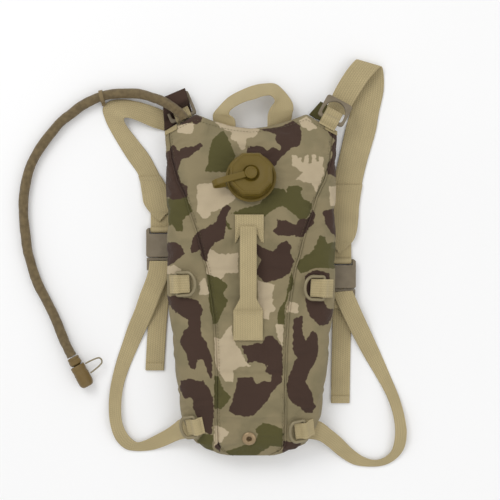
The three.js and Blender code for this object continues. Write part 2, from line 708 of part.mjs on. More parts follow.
const LOWER_STRAPS = {
  left: {
    left: [
      [-129.5, -26, 1.05], [-131, -46, 1.05], [-140, -66, 1.05], [-157, -95, 1.05], [-170, -118, 1.2],
      [-179, -142, 3], [-182, -166, 7], [-180, -190, 9], [-173, -211, 6], [-161, -223, 2.5],
      [-148, -226, 1.4], [-128, -225, 1.6], [-110, -219, 6], [-95, -211.5, 14], [-86, -208, 20],
    ],
    right: [
      [-104.5, -26, 1.05], [-106, -46, 1.05], [-118, -66, 1.05], [-134, -89, 1.05], [-152, -118, 1.2],
      [-162, -140, 3], [-166, -165, 7], [-164, -190, 9], [-156, -206, 8], [-146, -214, 7],
      [-136, -212, 5], [-122, -205, 5], [-108, -197, 9], [-97, -188.5, 16], [-92, -184, 21],
    ],
  },
  right: {
    left: [
      [104.5, -66, 1.05], [106, -86, 1.05], [120, -104, 1.05], [141, -115, 1.05], [160, -135, 1.2],
      [175, -158, 4], [183, -184, 8], [184, -210, 9], [180, -225, 7], [172, -233, 5],
      [160, -237, 5], [146, -234, 5], [131, -224, 5], [115, -208, 8], [101, -196, 15],
      [90, -187, 21],
    ],
    right: [
      [129.5, -66, 1.05], [132, -84, 1.05], [146, -94, 1.05], [163, -105, 1.05], [178, -131, 1.2],
      [190, -157, 4], [197, -184, 8], [199, -205, 9], [196, -222, 5], [187, -235, 2.5],
      [172, -244, 1.4], [150, -246, 1.4], [131, -243, 1.6], [113, -232, 6], [97, -218, 14],
      [85, -210, 20],
    ],
  },
};

// Free ends of the lower straps: their reach down from the buckle and their lean sideways.
const TAILS = { left: { length: 144, skew: -7 }, right: { length: 146, skew: -2 } };

function addStraps() {
  for (const side of ['left', 'right']) {
    const { left, right } = STRAPS[side];
    add(`shoulder_strap_${side}`, ribbon(left, right, 44), 'webbing');
    const lower = LOWER_STRAPS[side];
    add(`lower_strap_${side}`, ribbon(lower.left, lower.right, 44, 1.3), 'webbing');
    add(`strap_tail_${side}`, strapTail(BUCKLES[side], TAILS[side]), 'webbing');
    const { x, mouth } = BUCKLES[side];
    const bar = vector(x, mouth + FEMALE_LENGTH - 2.2, BUCKLE_LIFT + BUCKLE_HEIGHT / 2);
    const neck = placed(
      tabGeometry(WEB_NARROW - 1, side === 'left' ? 28.3 : 36.8, 0),
      bar, vector(1, 0, 0), vector(0, 1, 0), vector(0, 0, 1),
    );
    add(`strap_end_${side}`, neck, 'webbing');
  }
}

// Webbing that comes up under the ladder lock, turns round its middle bar and hangs down on top.
function strapTail({ x, mouth }, { length, skew }) {
  const bar = mouth - 8.5;
  const turn = 3.3;
  const middle = BUCKLE_LIFT + BUCKLE_HEIGHT / 2;
  const end = mouth - length;
  const path = [
    [mouth - 43, 2.6, 0], [mouth - 30, 2.5, 0], [mouth - 18, middle - turn, 0],
    [bar, middle - turn, 0], [bar + turn * 0.72, middle - turn * 0.72, 0], [bar + turn, middle, 0],
    [bar + turn * 0.72, middle + turn * 0.72, 0], [bar, middle + turn, 0],
    [mouth - 18, middle + turn, 0], [mouth - 42, middle + turn - 0.3, 0],
    [mouth - 58, 6, skew * 0.2], [end + 50, 4.6, skew * 0.6], [end + 20, 2.4, skew * 0.85],
    [end, 1.8, skew],
  ];
  const half = (WEB_NARROW - 1) / 2;
  const edge = (sign) => path.map(([y, z, shift]) => [x + shift + sign * half, y, z]);
  return ribbon(edge(-1), edge(1), 56, 1.2);
}

// ---------------------------------------------------------------- buckles
function addBuckles() {
  for (const side of ['left', 'right']) {
    const { x, mouth } = BUCKLES[side];
    const place = (geometry) => geometry.translate(x, mouth, BUCKLE_LIFT);
    add(`buckle_female_${side}`, place(buckleFemale()), 'buckle');
    add(`buckle_male_${side}`, place(buckleMale()), 'buckle');
    const inward = side === 'left' ? 1 : -1;
    for (const [name, sign] of [['inner', inward], ['outer', -inward]]) {
      add(`prong_${side}_${name}`, place(buckleProng(sign)), 'buckle');
      const root = vector(x + sign * 10, mouth + 1.5, BUCKLE_LIFT + BUCKLE_HEIGHT / 2);
      pivot(`squeeze_${side}_${name}`, root, vector(0, 0, sign));
    }
    pivot(`release_${side}`, vector(x, mouth, BUCKLE_LIFT + BUCKLE_HEIGHT / 2), vector(0, -1, 0));
  }
}

const roundedPlate = (half, y0, y1, corner) => {
  const shape = new THREE.Shape();
  shape.moveTo(-half + corner, y0);
  shape.lineTo(half - corner, y0);
  shape.lineTo(half, y0 + corner);
  shape.lineTo(half, y1 - corner);
  shape.lineTo(half - corner, y1);
  shape.lineTo(-half + corner, y1);
  shape.lineTo(-half, y1 - corner);
  shape.lineTo(-half, y0 + corner);
  shape.closePath();
  return shape;
};

function buckleFemale() {
  const half = BUCKLE_WIDTH / 2;
  const housing = extrude(roundedPlate(half, 0.3, FEMALE_LENGTH, 2.5), BUCKLE_HEIGHT, 1.2);
  const cavity = box(-14.6, 14.6, -1, 27, 2, 8);
  const windows = [-1, 1].map((sign) => box(sign * 16 - 3.2, sign * 16 + 3.2, 5, 26, 1.9, 8.1));
  const webSlot = box(-13.2, 13.2, 30.4, FEMALE_LENGTH + 1, -1, 11);
  const bar = new THREE.CylinderGeometry(2.1, 2.1, 30, 10)
    .rotateZ(Math.PI / 2).translate(0, FEMALE_LENGTH - 2.2, BUCKLE_HEIGHT / 2);
  return join(cut(housing, cavity, ...windows, webSlot), bar);
}

function buckleMale() {
  const rails = [-15.1, 15.1].map((x) => box(x - 1.6, x + 1.6, -MALE_LENGTH, -0.4, 1, 9));
  const head = box(-16.7, 16.7, -3.4, -0.4, 0.6, 9.4);
  const middleBar = box(-14, 14, -10, -7, 3.3, 6.7);
  const endBar = box(-14, 14, -MALE_LENGTH, -MALE_LENGTH + 2.4, 3.2, 6.6);
  const tongue = box(-2, 2, -1, 22, 3.2, 6.8);
  return join(head, ...rails, middleBar, endBar, tongue);
}

// A springy arm with a barb that shows in the window of the female part.
function buckleProng(sign) {
  const outline = [
    [7.6, 0.2], [11.5, 0.2], [13, 8], [14.1, 17], [14.2, 24], [12.2, 26.2], [9.8, 25], [10.2, 16],
    [9.2, 8],
  ];
  const points = outline.map(([px, py]) => [sign * px, py]);
  if (sign < 0) points.reverse();
  return extrude(polygon(points), 5.2, 0.6).translate(0, 0, 2.4);
}

// ---------------------------------------------------------------- handles
function addHandles() {
  const outer = [
    [-48, 206, 12], [-42, 212.5, 12], [-30, 223, 12], [-16, 230.5, 12], [1.5, 237, 12],
    [17, 240, 12], [31, 240.5, 13], [41.5, 232.5, 15], [52.5, 219.5, 17], [54, 211.5, 17.5],
    [52.5, 205, 15.5], [51, 199.5, 13],
  ];
  const inner = [
    [-29, 203.5, 25], [-25.5, 207, 27], [-16.5, 211.5, 30], [-7, 215.5, 31], [6, 218, 31],
    [14.5, 220.5, 31], [25, 223, 29], [30, 219, 27], [24.5, 212, 25], [22, 206, 24],
    [21, 200.5, 23], [21, 195.5, 22],
  ];
  add('top_handle', ribbon(outer, inner, 30, 2.4), 'webbing');
  pivot('handle_swing', vector(0, 199, 14), vector(1, 0, 0));
  addFrontHandle();
}

const FRONT_HANDLE = { top: 66, bottom: -46, half: 10.2, rise: 13 };

function addFrontHandle() {
  const { top, bottom, half, rise } = FRONT_HANDLE;
  const height = (y) => bodyPoint(0, y).z;
  const span = top - bottom;
  const path = [];
  for (let i = 0; i <= 12; i += 1) {
    const t = i / 12;
    const y = bottom + span * t;
    const arch = Math.sin(Math.PI * t) ** 0.6 * rise;
    path.push([y, height(y) + 4.4 + arch]);
  }
  const edge = (sign) => path.map(([y, z]) => [-4 + sign * half, y, z]);
  add('front_handle', ribbon(edge(-1), edge(1), 24, 3.6), 'webbing');
  const patch = (x, y0, y1, width) => {
    const lift = (h) => (u, v) => {
      const y = y0 + (y1 - y0) * v;
      return vector(x + (u - 0.5) * width, y, height(y) + h);
    };
    return slab(lift(2.3), lift(0.6), 1, 4);
  };
  add('handle_patch_upper', patch(-2, 57, 76, 36), 'webbing');
  add('handle_patch_lower', patch(-3.5, -84, -37, 37), 'webbing');
}

// ---------------------------------------------------------------- drain eyelet and zip
const EYELET_X = -2.4;
const EYELET_Y = -205;

function addSmallParts() {
  const { point, normal, along, side } = surfaceFrame(EYELET_X, EYELET_Y, vector(0, 1, 0));
  const eyelet = lathe([[3.2, 0.5], [8.9, 0.5], [8.9, 1.2], [6.8, 2.4], [4.2, 2.4], [3.2, 1.4]], 20);
  add('drain_eyelet', placed(eyelet, point, side, along, normal), 'brass');
  add('hose_keeper', hoseKeeper(), 'rubber');
  addZip();
}

function addZip() {
  const half = ZIP_SLOT / 2 - GAP;
  const end = ZIP_HALF - GAP;
  const tape = box(-end, end, ZIP_Y - half, ZIP_Y + half, 4.4, 5.6);
  const teeth = box(-end + 6, end - 6, ZIP_Y - 2.2, ZIP_Y + 2.2, 3.4, 4.6);
  add('zip_tape', join(tape, teeth), 'rear');
  const start = -ZIP_HALF + 16;
  const slider = box(start - 6, start + 6, ZIP_Y - 4, ZIP_Y + 4, 2.1, 3.1);
  const bridge = join(
    box(start - 4.2, start - 2.8, ZIP_Y - 1.2, ZIP_Y + 1.2, 0.3, 2.2),
    box(start + 2.4, start + 3.8, ZIP_Y - 1.2, ZIP_Y + 1.2, 0.3, 2.2),
    box(start - 4.2, start + 3.8, ZIP_Y - 1.2, ZIP_Y + 1.2, 0.3, 0.7),
  );
  add('zip_slider', join(slider, bridge), 'metal');
  const near = start - 1.9;
  const far = start + 24;
  const pull = polygon([[near, -3.6], [far, -2.6], [far, 2.6], [near, 3.6]]);
  const eye = [[near + 1, -1.9], [near + 8.9, -1.9], [near + 8.9, 1.9], [near + 1, 1.9]];
  pull.holes.push(new THREE.Path(eye.map(([x, y]) => new THREE.Vector2(x, y))));
  add('zip_puller', extrude(pull, 0.6).translate(0, ZIP_Y, 1.1), 'metal');
  pivot('zip_slide', vector(start, ZIP_Y, 2), vector(1, 0, 0));
  pivot('puller_swing', vector(start - 1.4, ZIP_Y, 1.4), vector(0, 1, 0));
}

addBody();
addReservoir();
addDrinkLine();
addRings();
addStraps();
addBuckles();
addHandles();
addSmallParts();

export default pack;
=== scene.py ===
"""Looks of the hydration pack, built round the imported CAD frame.

The pack lies on its back: +X is its right-hand side seen from the front, +Y points to its top and
+Z out of its front. Shapes are worked out in millimetres and written to Blender in metres.
"""

import json
import math

import bpy
import numpy as np
from mathutils import Matrix, Vector, noise

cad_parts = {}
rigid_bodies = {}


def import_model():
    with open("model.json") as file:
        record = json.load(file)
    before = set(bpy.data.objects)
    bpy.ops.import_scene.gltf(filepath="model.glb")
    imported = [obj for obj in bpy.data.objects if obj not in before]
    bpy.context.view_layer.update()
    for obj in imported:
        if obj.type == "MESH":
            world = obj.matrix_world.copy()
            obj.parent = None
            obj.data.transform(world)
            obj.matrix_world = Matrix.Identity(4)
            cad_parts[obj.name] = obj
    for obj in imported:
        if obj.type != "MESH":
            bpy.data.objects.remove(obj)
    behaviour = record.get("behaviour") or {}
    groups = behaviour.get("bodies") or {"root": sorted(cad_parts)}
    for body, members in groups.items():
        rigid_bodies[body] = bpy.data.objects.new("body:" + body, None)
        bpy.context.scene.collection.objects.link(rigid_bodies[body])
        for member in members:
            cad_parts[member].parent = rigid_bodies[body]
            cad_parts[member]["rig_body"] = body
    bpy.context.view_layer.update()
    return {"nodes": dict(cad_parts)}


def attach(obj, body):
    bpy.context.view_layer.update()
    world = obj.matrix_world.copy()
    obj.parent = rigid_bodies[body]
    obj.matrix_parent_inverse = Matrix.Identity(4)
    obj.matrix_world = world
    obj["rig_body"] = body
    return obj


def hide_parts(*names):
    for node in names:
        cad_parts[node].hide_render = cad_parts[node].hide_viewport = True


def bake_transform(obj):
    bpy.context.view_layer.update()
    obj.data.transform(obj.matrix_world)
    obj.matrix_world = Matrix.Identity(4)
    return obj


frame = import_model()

NODES = frame["nodes"]
MM = 0.001
PAPER = 0.93  # albedo of the floor
WHITE = 0.86  # albedo that the lights bring to full white, so colours keep their own brightness

# ---------------------------------------------------------------- dimensions, in millimetres
BODY_TOP = 185.4
BODY_BOTTOM = -228.3
REAR_PANEL = 6
WIDEST_AT = 22
END_HEIGHT = 26
BOTTOM_ROLL = 80
TOP_ROLL = 105
UNDERCUT = 0.14
SQUARENESS = 2.8
HALF_WIDTH = [
    (-228.3, 30), (-226.5, 41), (-220.5, 58), (-213, 69), (-202, 78), (-178, 88.5), (-146, 93.3),
    (-100, 99.4), (-75, 101.6), (-29, 106.2), (32, 107), (95, 107.3), (159, 108), (181, 109),
    (190, 109),
]
SEAM = [
    (-229, 17), (-222, 36), (-213, 42), (-184, 43), (-127, 42.5), (-83, 44), (-50, 46),
    (-24, 49.7), (10, 55), (23, 59.5), (53, 67), (76, 75), (99, 82), (119, 92), (146, 99.7),
    (176, 103.7), (190, 104.5),
]
CROWN = [(-230, 46), (-100, 49), (40, 53), (190, 50)]
TOP_EDGE = [(0, 185.4), (25, 188.6), (51, 196.4), (70, 203.8), (109, 181)]
TOP_EDGE_FROM = 118

FILLER_Y = 122
FILLER_TILT = math.radians(12)
FLANGE_RADIUS = 31.5
CAP_FLATS = 53
CAP_BASE = 4.2
CAP_TOP = 23

HOSE_ROUTE = [
    (-85, 197, 24), (-88, 203, 24), (-93, 208, 23.8), (-101, 214, 23), (-109, 219, 20.5),
    (-118, 223.5, 16.5), (-128, 227, 12.5), (-141, 231, 9), (-160, 232, 7.6), (-177, 231, 8),
    (-192, 228, 8.3), (-204, 223, 7.6), (-217, 216, 7), (-230, 206, 7), (-243, 196, 7),
    (-255, 182, 7), (-265, 169, 7), (-273, 157, 7), (-281, 142, 7), (-286, 127, 7),
    (-289, 112, 7), (-291, 95, 7), (-291, 80, 7), (-290, 64, 7), (-288, 48, 7), (-286, 32, 7),
    (-282, 17, 7), (-277, 0, 7), (-271, -15, 7), (-263, -30, 7), (-255, -46, 7),
    (-248, -61, 7.4), (-242, -76, 8.6), (-236.6, -88.5, 9.6), (-232.8, -96.1, 9.9),
    (-228.5, -104.1, 9.9),
]
SLEEVE_RADIUS = 6.5
BAIL_PIVOT = 10.7

RING_WIRE = 4.2
TAB_LOOP = 3.45  # radius of a tab's webbing round a ring's bar, to the middle of the webbing
WEB = 1.5
WEB_NARROW = 25
BUCKLE_HEIGHT = 10
BUCKLE_LIFT = 0.5
FEMALE_LENGTH = 38
BUCKLES = {"left": (-116.5, 22), "right": (116.5, -18)}

EYELET = (-2.4, -205)

ZIP_Y = 138
ZIP_HALF = 78
ZIP_SLOT = 13

CHANNEL_X = 36  # channels sewn along and across the rear padding
CHANNEL_ROWS = (-40, 60)
FILLER_OPENING = 24  # radius of the hole in the cloth under the filler's flange
EYELET_OPENING = 5


# ---------------------------------------------------------------- general helpers
def vector(x, y, z):
    return Vector((x, y, z))


def interpolate(table, at):
    return float(np.interp(at, [row[0] for row in table], [row[1] for row in table]))


def spline(points, t):
    """The point at t, from 0 to 1, of a centripetal Catmull-Rom curve."""
    last = len(points) - 1
    place = min(max(t, 0), 1) * last
    i = min(int(place), last - 1)
    w = place - i
    p1, p2 = points[i], points[i + 1]
    p0 = points[i - 1] if i > 0 else 2 * p1 - p2
    p3 = points[i + 2] if i + 2 <= last else 2 * p2 - p1
    d0, d1, d2 = (math.sqrt((b - a).length) for a, b in ((p0, p1), (p1, p2), (p2, p3)))
    m1 = ((p1 - p0) / d0 - (p2 - p0) / (d0 + d1) + (p2 - p1) / d1) * d1
    m2 = ((p2 - p1) / d1 - (p3 - p1) / (d1 + d2) + (p3 - p2) / d2) * d1
    return p1 + m1 * w + (3 * (p2 - p1) - 2 * m1 - m2) * w**2 + (2 * (p1 - p2) + m1 + m2) * w**3


def curve(points, count):
    points = [Vector(p) for p in points]
    return [spline(points, i / count) for i in range(count + 1)]


def length_of(points):
    return sum((b - a).length for a, b in zip(points, points[1:]))


def make(name, points, faces, smooth=True):
    """A mesh object from points in millimetres."""
    mesh = bpy.data.meshes.new(name)
    mesh.from_pydata([Vector(p) * MM for p in points], [], faces)
    mesh.validate()
    mesh.polygons.foreach_set("use_smooth", [smooth] * len(mesh.polygons))
    piece = bpy.data.objects.new(name, mesh)
    bpy.context.scene.collection.objects.link(piece)
    return piece


def face_out(piece):
    """Turns a closed piece's faces to point outwards."""
    mesh = piece.data
    volume = 0
    for polygon in mesh.polygons:
        corners = [mesh.vertices[i].co for i in polygon.vertices]
        for a, b in zip(corners[1:], corners[2:]):
            volume += corners[0].dot(a.cross(b))
    if volume < 0:
        mesh.flip_normals()
    return piece


def settle(piece):
    """Replaces a piece's mesh by the one that its modifiers give."""
    graph = bpy.context.evaluated_depsgraph_get()
    mesh = bpy.data.meshes.new_from_object(piece.evaluated_get(graph))
    piece.modifiers.clear()
    piece.data = mesh
    return piece


def modified(piece, *modifiers):
    """Adds modifiers, each a kind and its settings, and settles them."""
    for kind, settings in modifiers:
        modifier = piece.modifiers.new(kind.title(), kind)
        for key, value in settings.items():
            setattr(modifier, key, value)
    return settle(piece)


def finish_piece(piece, material, body, slot, replaced=()):
    piece.data.materials.clear()
    piece.data.materials.append(material)
    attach(piece, body)
    if replaced:
        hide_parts(*replaced)
    return piece


def tag(piece, name, values):
    """Stores a number, or three, at each vertex for the materials to read."""
    values = np.asarray(values, np.float32)
    kind, key = ("FLOAT", "value") if values.ndim == 1 else ("FLOAT_VECTOR", "vector")
    attribute = piece.data.attributes.new(name, kind, "POINT")
    attribute.data.foreach_set(key, values.ravel())


def ring_faces(rings, sides, closed_ends=True):
    faces = []
    for j in range(rings - 1):
        for i in range(sides):
            k = (i + 1) % sides
            faces.append((j * sides + i, j * sides + k, (j + 1) * sides + k, (j + 1) * sides + i))
    if closed_ends:
        faces.append(tuple(range(sides))[::-1])
        faces.append(tuple((rings - 1) * sides + i for i in range(sides)))
    return faces


def sweep(name, path, radius, sides=16, closed=False):
    """A round tube along a path. Radius is a number, or a function of the step and the angle."""
    size = radius if callable(radius) else (lambda step, angle: radius)
    count = len(path)
    tangents = []
    for i in range(count):
        after = path[(i + 1) % count] if closed else path[min(i + 1, count - 1)]
        before = path[i - 1] if closed or i > 0 else path[0]
        tangents.append((after - before).normalized())
    normal = tangents[0].orthogonal().normalized()
    points = []
    for i, tangent in enumerate(tangents):
        normal = (normal - tangent * normal.dot(tangent)).normalized()
        side = tangent.cross(normal)
        for k in range(sides):
            angle = 2 * math.pi * k / sides
            r = size(i, angle)
            points.append(path[i] + normal * (math.cos(angle) * r) + side * (math.sin(angle) * r))
    faces = ring_faces(count, sides, not closed)
    if closed:
        start = (count - 1) * sides
        faces += [
            (start + k, start + (k + 1) % sides, (k + 1) % sides, k) for k in range(sides)
        ]
    return face_out(make(name, points, faces))


def lathe(name, profile, placed, sides=72):
    """A solid of revolution about +Z from [radius, height] pairs, then placed by a matrix."""
    points = []
    for radius, z in profile:
        r = max(radius, 0.01)  # keeps the points of a ring on the axis apart
        for k in range(sides):
            angle = 2 * math.pi * k / sides
            points.append(placed @ vector(r * math.cos(angle), r * math.sin(angle), z))
    return face_out(make(name, points, ring_faces(len(profile), sides)))


def rounded(profile, reach=0.5, steps=3):
    """A profile whose inner corners are cut by small arcs."""
    made = [profile[0]]
    for before, corner, after in zip(profile, profile[1:], profile[2:]):
        c = Vector(corner)
        back, ahead = Vector(before) - c, Vector(after) - c
        cut = min(reach, back.length * 0.45, ahead.length * 0.45)
        a = c + back.normalized() * cut
        b = c + ahead.normalized() * cut
        for k in range(steps + 1):
            t = k / steps
            made.append(tuple(a * (1 - t) ** 2 + c * (2 * t * (1 - t)) + b * t**2))
    made.append(profile[-1])
    return made


def basis(origin, x, y, z):
    turn = Matrix((x, y, z)).transposed().to_4x4()
    turn.translation = origin
    return turn


# Half of a piece of webbing's section: share of the width, share of half the thickness
WEB_SECTION = [
    (0, 0.3), (0.02, 0.8), (0.07, 1), (0.22, 0.96), (0.4, 1), (0.6, 1), (0.78, 0.96), (0.93, 1),
    (0.98, 0.8), (1, 0.3),
]


def webbing(name, left, right, steps, thickness=WEB, limp=0.25):
    """Webbing between its two edges, lists of points, as a closed strip with soft selvedges."""
    section = WEB_SECTION + [(u, -h) for u, h in reversed(WEB_SECTION)]
    a, b = curve(left, steps), curve(right, steps)
    middle = [(p + q) / 2 for p, q in zip(a, b)]
    points, places = [], []
    run = 0
    for j in range(steps + 1):
        if j:
            run += (middle[j] - middle[j - 1]).length
        along = middle[min(steps, j + 1)] - middle[max(0, j - 1)]
        across = b[j] - a[j]
        normal = along.cross(across).normalized()
        for u, h in section:
            shift = limp * noise.noise(vector(u * 1.3, run / 22, across.length / 9))
            points.append(a[j] + across * u + normal * (h * thickness / 2 + shift))
            places.append(((u - 0.5) * across.length, run, h))
    piece = face_out(make(name, points, ring_faces(steps + 1, len(section))))
    tag(piece, "strap", places)
    return piece


def tan_webbing(name, left, right, steps, thickness, limp, replaced=(), body="pack"):
    """Webbing in the straps' cloth, on a body and in place of CAD nodes."""
    piece = webbing(name, left, right, steps, thickness, limp)
    return finish_piece(piece, WEBBING, body, "webbing", replaced)


def stitches(name, rows, pitch, share, radius, material, slot="webbing", body="pack"):
    """Thread lying in short stitches along rows of points."""
    points, faces = [], []
    for row in rows:
        total = length_of(row)
        count = max(1, round(total / pitch))
        marks = resampled(row, count * 12)
        for k in range(count):
            run = marks[k * 12 : k * 12 + round(12 * share) + 1]
            first = len(points)
            for i, p in enumerate(run):
                t = i / (len(run) - 1)
                ahead = (run[min(i + 1, len(run) - 1)] - run[max(i - 1, 0)]).normalized()
                side = ahead.cross(vector(0, 0, 1)).normalized()
                up = side.cross(ahead)
                fat = radius * (0.35 + 0.65 * math.sin(math.pi * t) ** 0.5)
                for c in range(6):
                    angle = math.pi * c / 3
                    points.append(p + side * (fat * math.cos(angle)) + up * (fat * math.sin(angle)))
            for face in ring_faces(len(run), 6):
                faces.append(tuple(first + i for i in face))
    return finish_piece(make(name, points, faces), material, body, slot)


def resampled(points, count):
    """Evenly spaced points along a polyline."""
    lengths = np.concatenate([[0], np.cumsum([(b - a).length for a, b in zip(points, points[1:])])])
    table = np.array([tuple(p) for p in points])
    at = np.linspace(0, lengths[-1], count + 1)
    return [Vector(row) for row in np.stack([np.interp(at, lengths, table[:, k]) for k in range(3)], 1)]


# ---------------------------------------------------------------- shape of the body
def quarter_round(t):
    return math.sqrt(1 - (1 - min(max(t, 0), 1)) ** 2)


def crown_at(y):
    fall = quarter_round((y - BODY_BOTTOM) / BOTTOM_ROLL) * quarter_round((BODY_TOP - y) / TOP_ROLL)
    return END_HEIGHT + (interpolate(CROWN, y) - END_HEIGHT) * fall


def body_point(across, row, inset=0):
    """A point of the body's outside; across is 1 where it is widest and 2 at the rear panel."""
    half = interpolate(HALF_WIDTH, row) - inset
    sign = -1 if across < 0 else 1
    t = abs(across)
    if t <= 1:
        angle = t * math.pi / 2
        x = half * math.sin(angle) ** (2 / SQUARENESS)
        z = WIDEST_AT + (crown_at(row) - inset - WIDEST_AT) * max(0, math.cos(angle)) ** (2 / SQUARENESS)
    else:
        x = half * (1 - UNDERCUT * (t - 1))
        z = WIDEST_AT + (REAR_PANEL + 0.3 + inset - WIDEST_AT) * (t - 1)
    lift = max(0, (row - TOP_EDGE_FROM) / (BODY_TOP - TOP_EDGE_FROM)) ** 2
    shifted = row + (interpolate(TOP_EDGE, min(x, 109)) - BODY_TOP) * lift
    middle = (BODY_TOP + BODY_BOTTOM) / 2
    y = middle + (shifted - middle) * (1 - inset * 2 / (BODY_TOP - BODY_BOTTOM))
    return vector(sign * x, y, z)


def across_at(x, row):
    share = min(1, abs(x) / interpolate(HALF_WIDTH, row))
    return math.copysign(2 / math.pi * math.asin(share ** (SQUARENESS / 2)), x)


def seam_across(row):
    return across_at(interpolate(SEAM, row), row)


def surface_frame(x, y, heading):
    """Point, outward normal, heading in the surface, and the side direction, on the body."""
    across = across_at(x, y)
    e = 0.01
    du = body_point(across + e, y) - body_point(across - e, y)
    dv = body_point(across, y + 1) - body_point(across, y - 1)
    normal = du.cross(dv).normalized()
    along = (heading - normal * heading.dot(normal)).normalized()
    return body_point(across, y), normal, along, along.cross(normal)


FILLER_ORIGIN = body_point(0, FILLER_Y) + vector(0, 0, 2.4)
FILLER_AXIS = vector(0, math.sin(FILLER_TILT), math.cos(FILLER_TILT))
FILLER_UP = vector(0, math.cos(FILLER_TILT), -math.sin(FILLER_TILT))
ON_FILLER = basis(FILLER_ORIGIN, vector(1, 0, 0), FILLER_UP, FILLER_AXIS)

VALVE_ORIGIN = vector(-228, -105, 9.9)
VALVE_AXIS = vector(20, -37, 0).normalized()
VALVE_SIDE = vector(37, 20, 0).normalized()
ON_VALVE = basis(VALVE_ORIGIN, VALVE_SIDE, vector(0, 0, 1), VALVE_AXIS)


# ---------------------------------------------------------------- materials
def rgb(red, green, blue):
    """A colour in the usual 0 to 255 values, as the shader's linear colour."""
    def linear(value):
        value /= 255
        return (value / 12.92 if value < 0.04045 else ((value + 0.055) / 1.055) ** 2.4) * WHITE
    return linear(red), linear(green), linear(blue), 1


class Graph:
    """A material's node tree, with short calls for the nodes that the materials share."""

    def __init__(self, name):
        self.material = bpy.data.materials.new(name)
        self.material.use_nodes = True
        self.tree = self.material.node_tree
        self.shader = self.tree.nodes["Principled BSDF"]
        self.place = self.node("ShaderNodeTexCoord").outputs["Object"]

    def node(self, kind, **settings):
        made = self.tree.nodes.new(kind)
        for key, value in settings.items():
            setattr(made, key, value)
        return made

    def put(self, socket, value):
        if isinstance(value, bpy.types.NodeSocket):
            self.tree.links.new(value, socket)
        else:
            socket.default_value = value

    def math(self, operation, *values):
        made = self.node("ShaderNodeMath", operation=operation)
        for socket, value in zip(made.inputs, values):
            self.put(socket, value)
        return made.outputs[0]

    def mix(self, factor, a, b):
        made = self.node("ShaderNodeMix", data_type="RGBA")
        for index, value in ((0, factor), (6, a), (7, b)):
            self.put(made.inputs[index], value)
        return made.outputs[2]

    def noise(self, size, detail=2.0, place=None):
        """Noise from 0 to 1, whose lumps are about size metres."""
        made = self.node("ShaderNodeTexNoise")
        self.put(made.inputs["Vector"], place or self.place)
        made.inputs["Scale"].default_value = 1 / size
        made.inputs["Detail"].default_value = detail
        return made.outputs["Fac"]

    def scale(self, place, x, y, z):
        made = self.node("ShaderNodeVectorMath", operation="MULTIPLY")
        self.put(made.inputs[0], place)
        made.inputs[1].default_value = (x, y, z)
        return made.outputs[0]

    def split(self, place):
        made = self.node("ShaderNodeSeparateXYZ")
        self.put(made.inputs[0], place)
        return made.outputs

    def attribute(self, name, output="Fac"):
        return self.node("ShaderNodeAttribute", attribute_name=name).outputs[output]

    def step(self, value, low, high, start=0.0, end=1.0):
        made = self.node("ShaderNodeMapRange")
        for index, number in enumerate((value, low, high, start, end)):
            self.put(made.inputs[index], number)
        return made.outputs[0]

    def shade(self, colour, factor):
        """Colour made lighter or darker by a factor."""
        made = self.node("ShaderNodeVectorMath", operation="SCALE")
        self.put(made.inputs[0], colour if isinstance(colour, bpy.types.NodeSocket) else colour[:3])
        self.put(made.inputs["Scale"], factor)
        return made.outputs[0]

    def bump(self, height, depth):
        """A bump whose height, 0 to 1, stands for depth metres."""
        made = self.node("ShaderNodeBump")
        made.inputs["Distance"].default_value = depth
        self.put(made.inputs["Height"], height)
        self.put(self.shader.inputs["Normal"], made.outputs[0])

    def finish(self, colour, roughness, metallic=0.0, specular=0.5, sheen=0.0):
        self.put(self.shader.inputs["Base Color"], colour)
        self.put(self.shader.inputs["Roughness"], roughness)
        self.shader.inputs["Metallic"].default_value = metallic
        self.shader.inputs["Specular IOR Level"].default_value = specular
        self.shader.inputs["Sheen Weight"].default_value = sheen
        return self.material


def plain_weave(g, pitch):
    """Height of a plain weave of that pitch in metres, 0 to 1, over the object's own X and Y."""
    x, y, z = g.split(g.place)
    turn = 2 * math.pi / pitch
    warp = g.math("SINE", g.math("MULTIPLY", x, turn))
    weft = g.math("SINE", g.math("MULTIPLY", g.math("ADD", y, z), turn))
    return g.math("MULTIPLY_ADD", g.math("MULTIPLY", warp, weft), 0.5, 0.5)


def camouflage():
    """Printed fabric: brown over pale over green on khaki, with ragged edges."""
    g = Graph("camouflage_fabric")
    ragged = g.math("MULTIPLY_ADD", g.noise(0.0052, 1.5), 5.0, -2.5)
    fine = g.math("MULTIPLY_ADD", g.noise(0.0016, 1.0), 0.7, -0.35)
    shift = g.math("ADD", ragged, fine)
    colour = rgb(147, 134, 102)
    drift = g.step(g.noise(0.05, 3.0), 0.3, 0.7, 0.95, 1.06)
    colour = g.mix(g.step(g.noise(0.03, 2.0), 0.45, 0.6), colour, rgb(138, 127, 96))
    paints = {"green": rgb(88, 83, 45), "pale": rgb(196, 179, 149), "brown": rgb(71, 52, 42)}
    for name, paint in paints.items():
        edge = g.math("ADD", g.attribute(name), shift)
        colour = g.mix(g.step(edge, -0.25, 0.25), colour, paint)
    weave = plain_weave(g, 0.0009)
    # painted shade and light: the hollows of the weave are painted darker and its raised crossings lighter,
    # following the bump
    colour = g.shade(colour, g.math("MULTIPLY", drift, g.step(weave, 0.0, 1.0, 0.93, 1.06)))
    slub = g.noise(0.0006, 1.0, g.scale(g.place, 1, 8, 1))
    height = g.math("MULTIPLY_ADD", slub, 0.5, weave)
    g.bump(height, 0.00012)
    return g.finish(colour, g.step(weave, 0.0, 1.0, 0.92, 0.78), specular=0.25, sheen=0.08)


